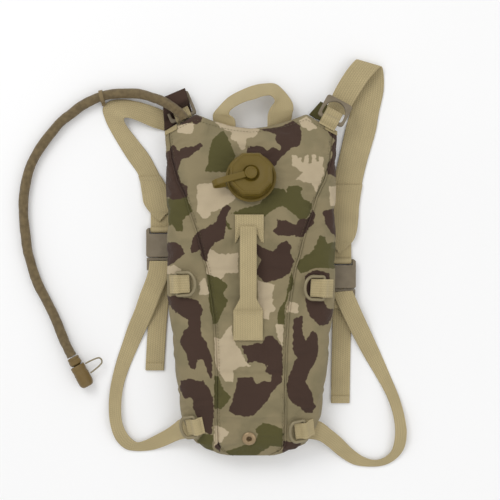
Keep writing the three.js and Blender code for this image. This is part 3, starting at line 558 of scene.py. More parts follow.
def strap_cloth(name, base, painted_weave_shade=0.1):
    """Woven webbing: ribs along it and a herringbone across it."""
    g = Graph(name)
    across, along, _ = g.split(g.attribute("strap", "Vector"))
    zigzag = g.math("PINGPONG", across, 2.6)
    chevron = g.math("SINE", g.math("MULTIPLY", g.math("ADD", along, zigzag), 2 * math.pi / 2.6))
    rib = g.math("SINE", g.math("MULTIPLY", across, 2 * math.pi / 3.1))
    weave = g.math("MULTIPLY_ADD", g.math("ADD", chevron, g.math("MULTIPLY", rib, 0.6)), 0.3, 0.5)
    drift = g.step(g.noise(0.03, 3.0), 0.3, 0.7, 0.94, 1.05)
    lines = g.step(g.noise(0.0009, 1.0, g.scale(g.place, 1, 0.1, 1)), 0.3, 0.7, 0.96, 1.04)
    colour = g.shade(base, g.math("MULTIPLY", drift, lines))
    # painted shade and light: the weave's grooves are painted darker and its ribs lighter, following the
    # bump, by the given strength
    colour = g.shade(colour, g.step(weave, 0.0, 1.0, 1 - painted_weave_shade, 1 + painted_weave_shade * 0.6))
    g.bump(weave, 0.00028)
    return g.finish(colour, g.step(weave, 0.0, 1.0, 0.88, 0.66), specular=0.3, sheen=0.1)


def sleeve_cloth():
    """Thin woven sleeve, drawn into folds round the hose."""
    g = Graph("hose_sleeve_cloth")
    around, along, _ = g.split(g.attribute("strap", "Vector"))
    cross = g.math("SINE", g.math("MULTIPLY", g.math("ADD", along, around), 2 * math.pi / 1.3))
    back = g.math("SINE", g.math("MULTIPLY", g.math("SUBTRACT", along, around), 2 * math.pi / 1.3))
    weave = g.math("MULTIPLY_ADD", g.math("MULTIPLY", cross, back), 0.5, 0.5)
    creases = g.noise(0.006, 3.0)
    # painted shade and light: fold troughs take the darker copy of the sleeve colour and fold ridges the
    # lighter one, following the bump; the weave's hollows are painted slightly darker too
    colour = g.mix(g.step(creases, 0.35, 0.65), rgb(106, 90, 61), rgb(128, 111, 79))
    colour = g.shade(colour, g.step(weave, 0.0, 1.0, 0.96, 1.03))
    g.bump(g.math("MULTIPLY_ADD", creases, 3.0, g.math("MULTIPLY", weave, 0.4)), 0.0004)
    return g.finish(colour, g.step(creases, 0.3, 0.7, 0.62, 0.8), specular=0.3, sheen=0.1)


def moulded(name, base, roughness, worn, grain=0.0004):
    """Moulded plastic: a fine grain, faint clouding, and scuffs that catch the light."""
    g = Graph(name)
    cloud = g.noise(0.012, 3.0)
    scuff = g.noise(0.0022, 4.0, g.scale(g.place, 1, 3, 1))
    colour = g.mix(g.step(cloud, 0.35, 0.65, 0.0, 0.5), base, worn)
    colour = g.mix(g.step(scuff, 0.62, 0.72, 0.0, 0.35), colour, worn)
    g.bump(g.math("MULTIPLY_ADD", g.noise(grain, 2.0), 0.6, scuff), 0.00005)
    return g.finish(colour, g.step(cloud, 0.3, 0.7, roughness - 0.05, roughness + 0.1), specular=0.3)


def metal(name, base, roughness, metallic):
    """Coated metal with hairline rubs."""
    g = Graph(name)
    rub = g.noise(0.0016, 4.0, g.scale(g.place, 1, 5, 2))
    colour = g.shade(base, g.step(rub, 0.35, 0.7, 0.88, 1.14))
    g.bump(rub, 0.00004)
    return g.finish(colour, g.step(rub, 0.3, 0.7, roughness - 0.08, roughness + 0.12), metallic)


def rear_mesh():
    """Spacer mesh of the rear panel: small round holes in rows."""
    g = Graph("rear_mesh_cloth")
    cells = g.node("ShaderNodeTexVoronoi", feature="DISTANCE_TO_EDGE")
    g.put(cells.inputs["Vector"], g.place)
    cells.inputs["Scale"].default_value = 520
    cells.inputs["Randomness"].default_value = 0.15
    hole = g.step(cells.outputs["Distance"], 0.1, 0.32)
    drift = g.step(g.noise(0.04, 3.0), 0.3, 0.7, 0.94, 1.06)
    # painted shade: the holes take a darker copy of the mesh colour, standing for the shade inside them
    colour = g.shade(g.mix(hole, rgb(122, 112, 82), rgb(88, 80, 56)), drift)
    g.bump(g.math("SUBTRACT", 1.0, hole), 0.0005)
    return g.finish(colour, g.step(hole, 0.0, 1.0, 0.8, 0.95), specular=0.2, sheen=0.1)


def foil():
    g = Graph("foil_foam")
    crease = g.noise(0.008, 5.0)
    # painted shade and light: the hollows of the crinkles are painted darker and their ridges lighter,
    # following the bump
    colour = g.shade(rgb(140, 142, 142), g.step(crease, 0.3, 0.7, 0.85, 1.1))
    g.bump(crease, 0.0008)
    return g.finish(colour, g.step(crease, 0.3, 0.7, 0.3, 0.55), metallic=0.6)


def yarn(name, base):
    """Twisted sewing thread."""
    g = Graph(name)
    x, y, z = g.split(g.place)
    twist = g.math("SINE", g.math("MULTIPLY", g.math("ADD", x, g.math("ADD", y, z)), 2 * math.pi / 0.0006))
    # painted shade and light: the grooves between the twisted plies are painted darker and the plies
    # lighter, following the bump
    colour = g.shade(base, g.step(twist, -1.0, 1.0, 0.88, 1.08))
    g.bump(twist, 0.00006)
    return g.finish(colour, g.step(twist, -1.0, 1.0, 0.75, 0.6), specular=0.3)


CAMO = camouflage()
WEBBING = strap_cloth("khaki_webbing", rgb(187, 170, 128), 0.26)
TAPE = strap_cloth("binding_tape", rgb(170, 154, 113), 0.14)
ELASTIC = strap_cloth("keeper_elastic", rgb(136, 118, 84))
ZIP_CLOTH = strap_cloth("zip_tape_cloth", rgb(104, 96, 66))
SLEEVE = sleeve_cloth()
CAP_PLASTIC = moulded("cap_plastic", rgb(106, 87, 24), 0.44, rgb(114, 95, 36))
VALVE_PLASTIC = moulded("valve_plastic", rgb(118, 96, 54), 0.34, rgb(134, 112, 70))
BUCKLE_PLASTIC = moulded("buckle_plastic", rgb(124, 112, 92), 0.42, rgb(142, 130, 110))
RUBBER = moulded("soft_rubber", rgb(92, 86, 58), 0.55, rgb(104, 98, 70))
FILM = moulded("bladder_film", rgb(150, 172, 186), 0.22, rgb(176, 194, 204), 0.002)
RING_METAL = metal("ring_metal", rgb(146, 134, 104), 0.4, 0.35)
BRASS = metal("eyelet_brass", rgb(168, 144, 110), 0.32, 0.6)
ZIP_METAL = metal("zip_metal", rgb(120, 110, 86), 0.35, 0.7)
FOIL = foil()
REAR = rear_mesh()
THREAD = yarn("khaki_thread", rgb(206, 191, 152))
DARK_THREAD = yarn("olive_thread", rgb(106, 98, 68))


# ---------------------------------------------------------------- printed pattern
# Outlines of the printed shapes, seen from the front
PRINT = {
    "brown": [
        [(-92, 194), (-80, 200), (-68, 203), (-61, 200), (-62, 194), (-68, 190), (-74, 193), (-90, 190)],
        [(-99, 165), (-90, 156), (-85, 161), (-72, 162), (-64, 166), (-60, 162), (-72, 153), (-78, 148),
         (-87, 146), (-89, 139), (-93, 131), (-88, 117), (-79, 111), (-79, 106), (-81, 97), (-96, 95),
         (-110, 100), (-116, 130), (-114, 152), (-103, 158)],
        [(10, 184), (34, 187), (53, 195), (62, 188), (64, 178), (63, 168), (58, 161), (49, 159), (44, 153),
         (36, 146), (29, 135), (20, 146), (9, 152), (-6, 151), (-4, 162), (14, 162), (20, 156), (27, 161),
         (36, 155), (38, 161), (30, 169), (33, 177), (21, 181)],
        [(94, 184), (104, 180), (116, 172), (112, 152), (118, 138), (107, 124), (96, 128), (98, 143),
         (103, 152), (101, 162), (106, 170)],
        [(-31, 89), (-25, 84), (-31, 73), (-31, 60), (-34, 47), (-45, 40), (-53, 30), (-55, 17), (-61, 20),
         (-64, 33), (-74, 27), (-76, 34), (-73, 47), (-66, 55), (-54, 61), (-44, 67), (-38, 80)],
        [(32, 70), (44, 68), (56, 63), (60, 70), (71, 70), (77, 82), (81, 76), (78, 65), (64, 48), (48, 50),
         (33, 50), (26, 55), (33, 61)],
        [(2, 41), (14, 35), (28, 30), (36, 40), (44, 43), (50, 38), (49, 28), (54, 18), (48, 3), (40, -3),
         (24, -8), (16, -8), (6, 3), (12, 19), (6, 31)],
        [(-118, 40), (-96, 42), (-87, 37), (-83, 27), (-90, 21), (-104, 12), (-118, 10)],
        [(89, 80), (104, 84), (118, 84), (116, 44), (106, 48), (94, 63)],
        [(-112, -26), (-90, -26), (-66, -31), (-60, -42), (-63, -53), (-62, -76), (-55, -84), (-49, -104),
         (-49, -135), (-55, -119), (-60, -106), (-67, -104), (-69, -118), (-76, -117), (-80, -101),
         (-89, -84), (-85, -71), (-78, -64), (-79, -56), (-95, -46), (-104, -37)],
        [(-90, -144), (-88, -133), (-79, -129), (-70, -131), (-60, -132), (-53, -141), (-47, -154),
         (-47, -178), (-49, -199), (-59, -198), (-64, -186), (-73, -166), (-72, -159), (-76, -152),
         (-83, -155)],
        [(-11, -88), (2, -86), (14, -84), (18, -77), (26, -75), (34, -83), (39, -90), (39, -132), (30, -141),
         (26, -133), (26, -125), (17, -120), (21, -113), (13, -109), (4, -107), (-5, -110), (-4, -102),
         (-9, -96)],
        [(-17, -128), (1, -127), (7, -135), (16, -132), (29, -134), (32, -139), (25, -147), (22, -153),
         (12, -166), (4, -175), (-8, -177), (-20, -175), (-28, -170), (-24, -158), (-20, -145)],
        [(68, 0), (76, 6), (84, 7), (99, 2), (99, -4), (92, -10), (90, -30), (96, -41), (104, -43),
         (103, -52), (97, -61), (87, -63), (79, -56), (72, -50), (68, -31)],
        [(53, -54), (64, -50), (65, -60), (64, -73), (69, -81), (77, -69), (83, -74), (84, -94), (81, -108),
         (73, -120), (68, -133), (76, -147), (81, -166), (77, -172), (68, -173), (62, -165), (52, -160),
         (45, -149), (45, -134), (53, -111), (58, -104), (52, -92)],
        [(-46, -216), (-41, -210), (-37, -216), (-39, -223)],
        [(40, -208), (62, -211), (66, -226), (40, -226)],
    ],
    "pale": [
        [(-93, 188), (-80, 193), (-72, 190), (-73, 178), (-93, 180)],
        [(-46, 194), (-25, 192), (-16, 189), (11, 185), (5, 174), (-5, 173), (-8, 159), (-13, 156),
         (-18, 168), (-25, 170), (-25, 180), (-38, 186)],
        [(60, 195), (71, 201), (83, 186), (73, 182), (64, 187)],
        [(51, 151), (57, 150), (58, 146), (63, 147), (64, 142), (67, 142), (67, 150), (72, 150), (72, 141),
         (76, 141), (76, 151), (81, 151), (82, 143), (85, 143), (86, 149), (91, 148), (90, 138), (92, 128),
         (82, 104), (76, 115), (55, 120), (64, 129), (52, 138)],
        [(-67, 114), (-47, 116), (-36, 111), (-24, 106), (-18, 96), (-29, 89), (-40, 82), (-50, 79),
         (-53, 71), (-60, 71), (-68, 80)],
        [(98, 112), (118, 112), (118, 88), (100, 87)],
        [(-58, 32), (-50, 34), (-44, 28), (-31, 26), (-16, 28), (-16, 3), (-32, 3), (-38, -4), (-55, 3)],
        [(-118, 10), (-94, 13), (-87, 7), (-92, 2), (-118, 1)],
        [(8, -5), (17, -9), (29, -10), (27, -22), (27, -35), (31, -43), (24, -46), (22, -55), (13, -54),
         (9, -41)],
        [(-65, -9), (-57, -2), (-52, -25), (-64, -24)],
        [(-25, -63), (-20, -86), (-14, -92), (-7, -107), (0, -113), (-14, -114), (-22, -119), (-22, -133),
         (-31, -132), (-38, -125), (-45, -110), (-46, -77), (-37, -80), (-32, -69)],
        [(47, -33), (60, -34), (59, -47), (43, -46)],
        [(30, -61), (41, -62), (39, -88), (33, -77)],
        [(-46, -188), (-37, -190), (-28, -197), (-35, -206), (-46, -217)],
    ],
    "green": [
        [(-35, 182), (-30, 175), (-26, 165), (-20, 150), (-22, 143), (-32, 129), (-58, 130), (-54, 141),
         (-52, 160), (-48, 170), (-40, 179)],
        [(21, 101), (28, 109), (40, 108), (44, 104), (46, 112), (60, 112), (64, 108), (61, 102), (67, 95),
         (77, 88), (73, 75), (63, 68), (50, 79), (39, 87), (27, 82), (17, 73), (-24, 77), (-31, 69),
         (-22, 57), (-28, 57), (-33, 64), (-28, 76), (-14, 82), (9, 88)],
        [(-118, 98), (-90, 96), (-81, 102), (-74, 80), (-85, 70), (-86, 55), (-93, 55), (-99, 64),
         (-118, 58)],
        [(86, 50), (93, 48), (95, 39), (105, 42), (118, 34), (118, 8), (81, 9), (62, 2), (57, 12), (61, 20),
         (68, 25), (77, 30)],
        [(-55, 1), (-42, -2), (-32, -8), (-30, -15), (-35, -22), (-29, -32), (-36, -46), (-41, -58),
         (-47, -61), (-51, -46), (-54, -21)],
        [(51, 5), (54, -10), (47, -23), (43, -38), (42, -61), (34, -60), (32, -54), (35, -43), (43, -30),
         (46, -13)],
        [(-46, -124), (-39, -129), (-34, -143), (-25, -151), (-30, -160), (-37, -167), (-46, -167)],
        [(15, -185), (25, -187), (34, -190), (40, -195), (40, -217), (24, -215), (13, -223), (5, -230),
         (-25, -230), (-32, -222), (-15, -216), (4, -210), (9, -200), (6, -193)],
        [(-68, -208), (-59, -199), (-48, -201), (-48, -224), (-58, -224)],
    ],
}
PRINT_EDGE = 106  # further out, the side walls repeat the colours found here


def depth_inside(outline, x, y):
    """Signed distance to a closed outline, positive inside."""
    points = np.array(outline, float)
    distance = np.full(x.shape, 1e9)
    inside = np.zeros(x.shape, bool)
    for (x0, y0), (x1, y1) in zip(points, np.roll(points, -1, 0)):
        ex, ey = x1 - x0, y1 - y0
        t = np.clip(((x - x0) * ex + (y - y0) * ey) / (ex * ex + ey * ey), 0, 1)
        distance = np.minimum(distance, np.hypot(x - x0 - t * ex, y - y0 - t * ey))
        if ey:
            inside ^= ((y0 > y) != (y1 > y)) & (x < x0 + (y - y0) * ex / ey)
    return np.where(inside, distance, -distance)


def printed(piece, colour=None):
    """Stores how deep each vertex lies inside the printed shapes, or one colour all over."""
    places = np.array([tuple(v.co) for v in piece.data.vertices]) / MM
    x, y, z = places.T
    x = np.sign(x) * np.minimum(np.abs(x) + np.maximum(0, WIDEST_AT - z), PRINT_EDGE + 10)
    for name, outlines in PRINT.items():
        if colour:
            values = np.full(len(x), 20.0 if name == colour else -20.0)
        else:
            values = np.max([depth_inside(outline, x, y) for outline in outlines], axis=0)
        tag(piece, name, values)
    return piece


# ---------------------------------------------------------------- camera, floor and lights
def add_camera():
    data = bpy.data.cameras.new("camera")
    camera = bpy.data.objects.new("camera", data)
    bpy.context.scene.collection.objects.link(camera)
    distance, width, plane = 1.8, 0.635, 0.02
    camera.location = (-0.0013, 0.0318, plane + distance)
    data.sensor_width = 36
    data.lens = data.sensor_width * distance / width
    data.clip_end = 20
    bpy.context.scene.camera = camera


def add_floor():
    g = Graph("studio_floor")
    g.finish(g.shade((PAPER, PAPER, PAPER, 1), g.step(g.noise(0.6, 2.0), 0.3, 0.7, 0.99, 1.01)), 0.9)
    half, low = 6000, -0.5
    corners = [(-half, -half, low), (half, -half, low), (half, half, low), (-half, half, low)]
    floor = make("studio_floor", corners, [(0, 1, 2, 3)])
    floor.data.materials.append(g.material)


def add_lights():
    world = bpy.data.worlds.new("studio")
    world.use_nodes = True
    background = world.node_tree.nodes["Background"]
    background.inputs["Color"].default_value = (1.0, 1.0, 1.0, 1)
    background.inputs["Strength"].default_value = 0.78
    bpy.context.scene.world = world
    bpy.context.scene.view_settings.view_transform = "Standard"
    for name, place, size, power in (
        ("key_softbox", (-1.1, 1.3, 1.9), 1.2, 17),
        ("fill_softbox", (1.3, -0.6, 1.8), 1.6, 6),
    ):
        data = bpy.data.lights.new(name, "AREA")
        data.shape = "SQUARE"
        data.size = size
        data.energy = power
        light = bpy.data.objects.new(name, data)
        light.location = place
        light.rotation_euler = (-Vector(place)).to_track_quat("-Z", "Y").to_euler()
        bpy.context.scene.collection.objects.link(light)


# ---------------------------------------------------------------- drinking hose
def add_hose():
    steps = 720
    path = curve(HOSE_ROUTE, steps)
    total = length_of(path)

    def radius(step, angle):
        run = step / steps * total
        fold = noise.noise(vector(math.cos(angle) * 0.9, math.sin(angle) * 0.9, run / 5.5))
        twist = math.sin(2 * angle + run / 9 + 2 * noise.noise(vector(run / 30, 0, 0)))
        return SLEEVE_RADIUS - 0.35 + 0.32 * fold + 0.22 * twist

    sides = 20
    hose = sweep("hose_sleeve", path, radius, sides)
    places = []
    for step in range(steps + 1):
        for k in range(sides):
            places.append((k / sides * 2 * math.pi * SLEEVE_RADIUS, step / steps * total, 1))
    tag(hose, "strap", places)
    finish_piece(hose, SLEEVE, "pack", "hose_sleeve", ["drink_hose"])
    return hose, path, total


def add_valve():
    collar = lathe("hose_collar", rounded([
        (0, 0.4), (7.0, 0.4), (7.8, 1.6), (7.8, 3.2), (7.3, 3.7), (7.3, 4.5), (7.8, 5.0), (7.8, 9.4),
        (6.6, 11), (4.5, 12), (4.5, 17), (0, 17),
    ], 0.4), ON_VALVE)
    finish_piece(collar, VALVE_PLASTIC, "pack", "cap_plastic", ["valve_collar"])
    mouthpiece = lathe("bite_mouthpiece", rounded([
        (0, 17.3), (4.6, 17.3), (6.2, 18.5), (6.2, 24), (5.7, 25), (6.2, 26), (6.1, 27.5), (5, 32),
        (0, 33.4),
    ], 0.5), ON_VALVE)
    finish_piece(mouthpiece, RUBBER, "pack", "soft_rubber", ["mouthpiece"])
    cover = lathe("mouthpiece_cover", rounded([
        (0, 38.5), (5.5, 37), (7, 34), (7, 12.4), (8.8, 12.4), (9.4, 13.4), (9.4, 18.5), (9.0, 18.9),
        (9.0, 22.9), (9.4, 23.3), (9.4, 36), (8.6, 39.2), (7, 41.4), (4.6, 42.4), (3.4, 41.9), (0, 42.1),
    ], 0.6), ON_VALVE)
    finish_piece(cover, VALVE_PLASTIC, "valve_cover", "cap_plastic", ["valve_cover"])
    bow = [(BAIL_PIVOT, 0, 15), (14, 0, 15), (24, 0, 15.6), (29.5, 0, 17), (31, 0, 20.5), (29.5, 0, 24),
           (24, 0, 26.2), (14, 0, 28.2), (BAIL_PIVOT, 0, 28.6)]
    wire = sweep("bail_wire", [ON_VALVE @ p for p in curve(bow, 120)], 1.0, 14)
    finish_piece(wire, RING_METAL, "valve_bail", "ring_metal", ["valve_bail"])
    return [collar, mouthpiece, cover, wire]


# ---------------------------------------------------------------- sewn body
def patch(name, surface, columns, rows):
    """An open sheet over a surface of (u, v), each from 0 to 1."""
    points = [surface(i / columns, j / rows) for j in range(rows + 1) for i in range(columns + 1)]
    wide = columns + 1
    faces = [
        (j * wide + i, j * wide + i + 1, (j + 1) * wide + i + 1, (j + 1) * wide + i)
        for j in range(rows) for i in range(columns)
    ]
    return make(name, points, faces)


def puff(piece, held, pressure, reach):
    """Lets the cloth swell and crease where it isn't held, by at most reach millimetres."""
    rest = np.array([tuple(v.co) for v in piece.data.vertices])
    group = piece.vertex_groups.new(name="held")
    for index, weight in enumerate(held):
        if weight > 0:
            group.add([index], weight, "REPLACE")
    cloth = piece.modifiers.new("Cloth", "CLOTH")
    settings = cloth.settings
    settings.quality = 6
    settings.mass = 0.2
    settings.tension_stiffness = 12
    settings.compression_stiffness = 12
    settings.shear_stiffness = 6
    settings.bending_stiffness = 0.6
    settings.use_pressure = True
    settings.uniform_pressure_force = pressure
    settings.vertex_group_mass = "held"
    settings.shrink_min = -0.035
    settings.effector_weights.gravity = 0
    cloth.point_cache.frame_start = 1
    cloth.point_cache.frame_end = 20
    for step in range(1, 21):
        bpy.context.scene.frame_set(step)
    settle(piece)
    bpy.context.scene.frame_set(1)
    moved = np.array([tuple(v.co) for v in piece.data.vertices]) - rest
    size = np.linalg.norm(moved, axis=1, keepdims=True)
    limit = reach * MM
    eased = limit * np.tanh(size / limit)
    places = rest + moved * np.where(size > 1e-9, eased / np.maximum(size, 1e-9), 0)
    piece.data.vertices.foreach_set("co", places.astype(np.float32).ravel())
    return piece


def pucker(run, distance):
    """Small ripples where a seam gathers the cloth, fading away from it."""
    ripple = noise.noise(vector(run / 5.5, distance / 14, 0)) + 0.5 * noise.noise(vector(run / 2.7, 3, 0))
    return 0.9 * ripple * math.exp(-distance / 9)


def sewn_down(x, y):
    """Whether something sewn or pressed on holds the cloth of the front at this place."""
    handle_end = abs(x + 3) < 19 and (-84 < y < -38 or 56 < y < 77)
    top_corner = abs(x) > 62 and y > 172
    spots = [(0, FILLER_ORIGIN.y, FLANGE_RADIUS), (*EYELET, 12)]
    spots += [(ring["x"], ring["y"], 21) for ring in RINGS if "x" in ring]
    near_spot = any(math.hypot(x - px, y - py) < reach for px, py, reach in spots)
    return handle_end or top_corner or near_spot


def fabric_panel(name, start, end, columns, seams):
    """A padded panel of the body between two curves of "across"."""
    rows = 150

    def surface(u, v):
        share = v - 0.08 * math.sin(2 * math.pi * v)
        row = BODY_BOTTOM + (BODY_TOP - BODY_BOTTOM) * share
        across = start(row) + (end(row) - start(row)) * u
        point = body_point(across, row)
        e = 0.02
        normal = (body_point(across + e, row) - body_point(across - e, row)).cross(
            body_point(across, min(row + 1, BODY_TOP)) - body_point(across, max(row - 1, BODY_BOTTOM)))
        if normal.length < 1e-6:
            normal = vector(0, 0, 1)
        width = abs(end(row) - start(row)) * 100
        distance = min(abs(u - s) * width for s in seams)
        sink = 1.6 * math.exp(-((distance / 3.2) ** 2))
        near_end = min(1, (row - BODY_BOTTOM) / 14)
        return point + normal.normalized() * ((pucker(row, distance) - sink) * near_end)

    piece = patch(name, surface, columns, rows)
    held = []
    for vertex in piece.data.vertices:
        x, y, z = vertex.co / MM
        column = vertex.index % (columns + 1)
        row = vertex.index // (columns + 1)
        at_edge = column in (0, columns) or row in (0, rows)
        held.append(1.0 if at_edge or z < 8.5 or sewn_down(x, y) else 0.0)
    puff(piece, held, 3.0, 3.5)
    modified(piece, ("SUBSURF", {"levels": 1, "render_levels": 1}))
    return piece


def open_round(piece, centre, radius):
    """Cuts a round opening through a sheet, seen from the front."""
    mesh = piece.data
    doomed = {
        v.index for v in mesh.vertices
        if math.hypot(v.co.x / MM - centre.x, v.co.y / MM - centre.y) < radius and v.co.z > 0.02
    }
    points = [v.co / MM for v in mesh.vertices]
    faces = [tuple(p.vertices) for p in mesh.polygons if not doomed.intersection(p.vertices)]
    used = sorted({i for face in faces for i in face})
    place = {old: new for new, old in enumerate(used)}
    name = piece.name
    bpy.data.objects.remove(piece)
    return make(name, [points[i] for i in used], [tuple(place[i] for i in face) for face in faces])


def add_body():
    eyelet = surface_frame(*EYELET, vector(0, 1, 0))[0]
    rear_edge = 1.99  # just short of the rear panel, which is at 2

    def left_seam(row):
        return -seam_across(row)

    panels = [
        ("front_cover", left_seam, seam_across, 84, (0, 1), ["front_panel", "top_gusset"]),
        ("side_cover_left", lambda row: -rear_edge, left_seam, 44, (1,), ["side_panel_left"]),
        ("side_cover_right", seam_across, lambda row: rear_edge, 44, (0,), ["side_panel_right"]),
    ]
    for name, start, end, columns, seams, replaced in panels:
        piece = fabric_panel(name, start, end, columns, seams)
        if name == "front_cover":
            piece = open_round(piece, FILLER_ORIGIN, FILLER_OPENING)
            piece = open_round(piece, eyelet, EYELET_OPENING)
        modified(piece, ("SOLIDIFY", {"thickness": 0.0016, "offset": -1}))
        printed(piece)
        finish_piece(piece, CAMO, "pack", "camo_fabric", replaced)
    add_ends()
    add_seams()


def add_ends():
    """Walls that close the body at the top, between the mouths, and at the bottom."""
    reach = across_at(68, BODY_TOP)

    def top(u, v):
        edge = body_point(reach * (2 * u - 1), BODY_TOP)
        low = REAR_PANEL + 0.3
        bulge = 1.2 * math.sin(math.pi * v)
        return vector(edge.x, edge.y - 1.6 + bulge, low + (edge.z - 1 - low) * v)

    def bottom(u, v):
        edge = body_point(1.05 * (2 * u - 1), BODY_BOTTOM)
        low = REAR_PANEL + 0.3
        return vector(edge.x, edge.y + 0.8 - 1.0 * math.sin(math.pi * v), low + (edge.z - low) * v)

    for name, surface, replaced in (("top_wall", top, []), ("bottom_wall", bottom, ["bottom_gusset"])):
        wall = patch(name, surface, 60, 12)
        modified(wall, ("SOLIDIFY", {"thickness": 0.0012, "offset": 0}))
        printed(wall)
        finish_piece(wall, CAMO, "pack", "camo_fabric", replaced)


def seam_path(sign, shift, height, first=BODY_BOTTOM + 1, last=BODY_TOP - 0.5, steps=260):
    """Points along a seam of the front, shifted sideways and lifted off the surface."""
    path = []
    for j in range(steps + 1):
        row = first + (last - first) * j / steps
        x = interpolate(SEAM, row) + shift
        point, normal, _, _ = surface_frame(sign * x, row, vector(0, 1, 0))
        path.append(point + normal * (height + 0.5 * pucker(row, abs(shift))))
    return path


def add_seams():
    rows = []
    for side, sign in (("left", -1), ("right", 1)):
        welt = sweep(f"seam_welt_{side}", seam_path(sign, 0.9, 0.1),
                     lambda step, angle: 0.85 + 0.1 * math.sin(step * 0.9 + angle), 12)
        printed(welt)
        finish_piece(welt, CAMO, "pack", "camo_fabric")
        rows.append(seam_path(sign, -3.4, 0.05))
    stitches("seam_stitching", rows, 4.0, 0.5, 0.25, DARK_THREAD, "binding_tape")
    hem = [body_point(a / 50 * 0.6, BODY_TOP - 5) + vector(0, 0, 0.2) for a in range(-50, 51)]
    stitches("hem_stitching", [hem], 4.0, 0.62, 0.3, DARK_THREAD, "binding_tape")


def add_mouths():
    for side, sign in (("left", -1), ("right", 1)):
        inner, outer = [], []
        for k in range(13):
            across = sign * (0.6 + 0.34 * k / 12)
            outer.append(body_point(across, BODY_TOP) + vector(0, 1.0, 1.0))
            inner.append(body_point(across, BODY_TOP - 5) + vector(0, 0, 1.5))
        tape = webbing(f"mouth_tape_{side}", outer, inner, 60, 1.6, 0.1)
        finish_piece(tape, TAPE, "pack", "binding_tape", [f"mouth_binding_{side}"])
        middle = [(a * 0.3 + b * 0.7) + vector(0, 0, 0.75) for a, b in zip(outer, inner)]
        stitches(f"mouth_stitching_{side}", [middle], 3.6, 0.62, 0.28, THREAD, "binding_tape")


# Corners of the cloth flaps at the top, and the height of the end that lies over the ring
FLAPS = {
    "left": {"corners": [(-111, 184), (-112, 226), (-84, 238), (-75, 206)], "rise": 12.5,
             "flat": (0.036, 0.053), "colour": "brown"},
    "right": {"corners": [(103, 190), (106, 214), (89, 222), (74, 205)], "rise": 0,
              "flat": (0.034, 0.0455), "colour": "green"},
}


def add_flaps():
    for side, flap in FLAPS.items():
        a, b, c, d = (vector(x, y, 4.5) for x, y in flap["corners"])

        def surface(u, v):
            point = a.lerp(d, u).lerp(b.lerp(c, u), v)
            over = min(1, max(0, (v - 0.25) / 0.35))
            lift = flap["rise"] * over**2 * (3 - 2 * over)
            return point + vector(0, 0, lift + 0.5 * noise.noise(point / 14))

        cloth = patch(f"corner_cloth_{side}", surface, 24, 24)
        modified(cloth, ("SOLIDIFY", {"thickness": 0.0012, "offset": 0}))
        printed(cloth, flap["colour"])
        finish_piece(cloth, CAMO, "pack", "camo_fabric", [f"corner_flap_{side}"])


# ---------------------------------------------------------------- rear panel and zip
def add_rear():
    slot_low, slot_high = ZIP_Y - ZIP_SLOT / 2, ZIP_Y + ZIP_SLOT / 2
    slot_share = ZIP_HALF / (107.7 * (1 - UNDERCUT))
    top = BODY_TOP - 4
    ys = [*np.arange(BODY_BOTTOM, slot_low - 1, 2.6), slot_low, ZIP_Y, slot_high]
    ys += [*np.arange(slot_high + 2.4, top - 1, 2.4), top]
    shares = sorted({round(u, 4) for u in np.linspace(-1, 1, 81)} | {-slot_share, slot_share})

    def half(y):
        return interpolate(HALF_WIDTH, y) * (1 - UNDERCUT)

    def rim(x, y):
        """How far a point is from the nearest edge of the panel."""
        side = half(y) - abs(x)
        ends = min(y - BODY_BOTTOM, top - y)
        dx, dy = abs(x) - ZIP_HALF, abs(y - ZIP_Y) - ZIP_SLOT / 2
        slot = math.hypot(max(dx, 0), max(dy, 0)) if max(dx, dy) > 0 else 0
        return max(0, min(side, ends, slot))

    def groove(x, y):
        """Sewn channels that divide the padding."""
        nearest = abs(abs(x) - CHANNEL_X)
        if abs(x) < CHANNEL_X:
            nearest = min(nearest, *(abs(y - line) for line in CHANNEL_ROWS))
        return 1.3 * math.exp(-((nearest / 3.5) ** 2))

    points, faces = [], []
    for face in (-1, 1):
        for y in ys:
            for u in shares:
                x = u * half(y)
                fat = 2.9 * quarter_round(rim(x, y) / 3.5)
                z = 3 + face * fat
                if face < 0:
                    z = min(3, z + groove(x, y) * min(1, rim(x, y) / 6))
                points.append((x, y, z))
    wide, tall = len(shares), len(ys)
    for face in range(2):
        for j in range(tall - 1):
            for i in range(wide - 1):
                inside = ys[j] >= slot_low - 0.01 and ys[j + 1] <= slot_high + 0.01
                if inside and shares[i] >= -slot_share - 1e-6 and shares[i + 1] <= slot_share + 1e-6:
                    continue
                k = face * wide * tall + j * wide + i
                quad = (k, k + 1, k + wide + 1, k + wide)
                faces.append(quad if face else quad[::-1])
    piece = make("rear_padding", points, faces)
    modified(piece, ("WELD", {"merge_threshold": 0.00005}))
    finish_piece(face_out(piece), REAR, "pack", "rear_fabric", ["rear_panel"])
    rows = []
    for x in (-CHANNEL_X, CHANNEL_X):
        rows.append([vector(x, y, 1.3) for y in np.arange(-200, 124, 4)])
    for y in CHANNEL_ROWS:
        rows.append([vector(x, y, 1.3) for x in np.arange(-34, 35, 4)])
    stitches("rear_stitching", rows, 4.0, 0.62, 0.35, DARK_THREAD, "binding_tape")
    add_rear_piping(half, top)
    add_zip()


def add_rear_piping(half, top):
    """Cord in a tape, sewn round the joint of the rear panel and the sides."""
    outline = [vector(half(y), y, 0) for y in np.linspace(BODY_BOTTOM, top, 110)]
    path = []
    for p in outline:
        path.append(vector(p.x + 0.6, p.y, REAR_PANEL + 0.2))
    loop = path + [vector(-p.x, p.y, p.z) for p in reversed(path)]
    loop = resampled(loop + [loop[0]], 620)[:-1]
    piping = sweep("rear_piping", loop, 1.5, 10, closed=True)
    tag(piping, "strap", [(k % 10, k // 10 * 2.2, 1) for k in range(len(piping.data.vertices))])
    finish_piece(piping, TAPE, "pack", "binding_tape")


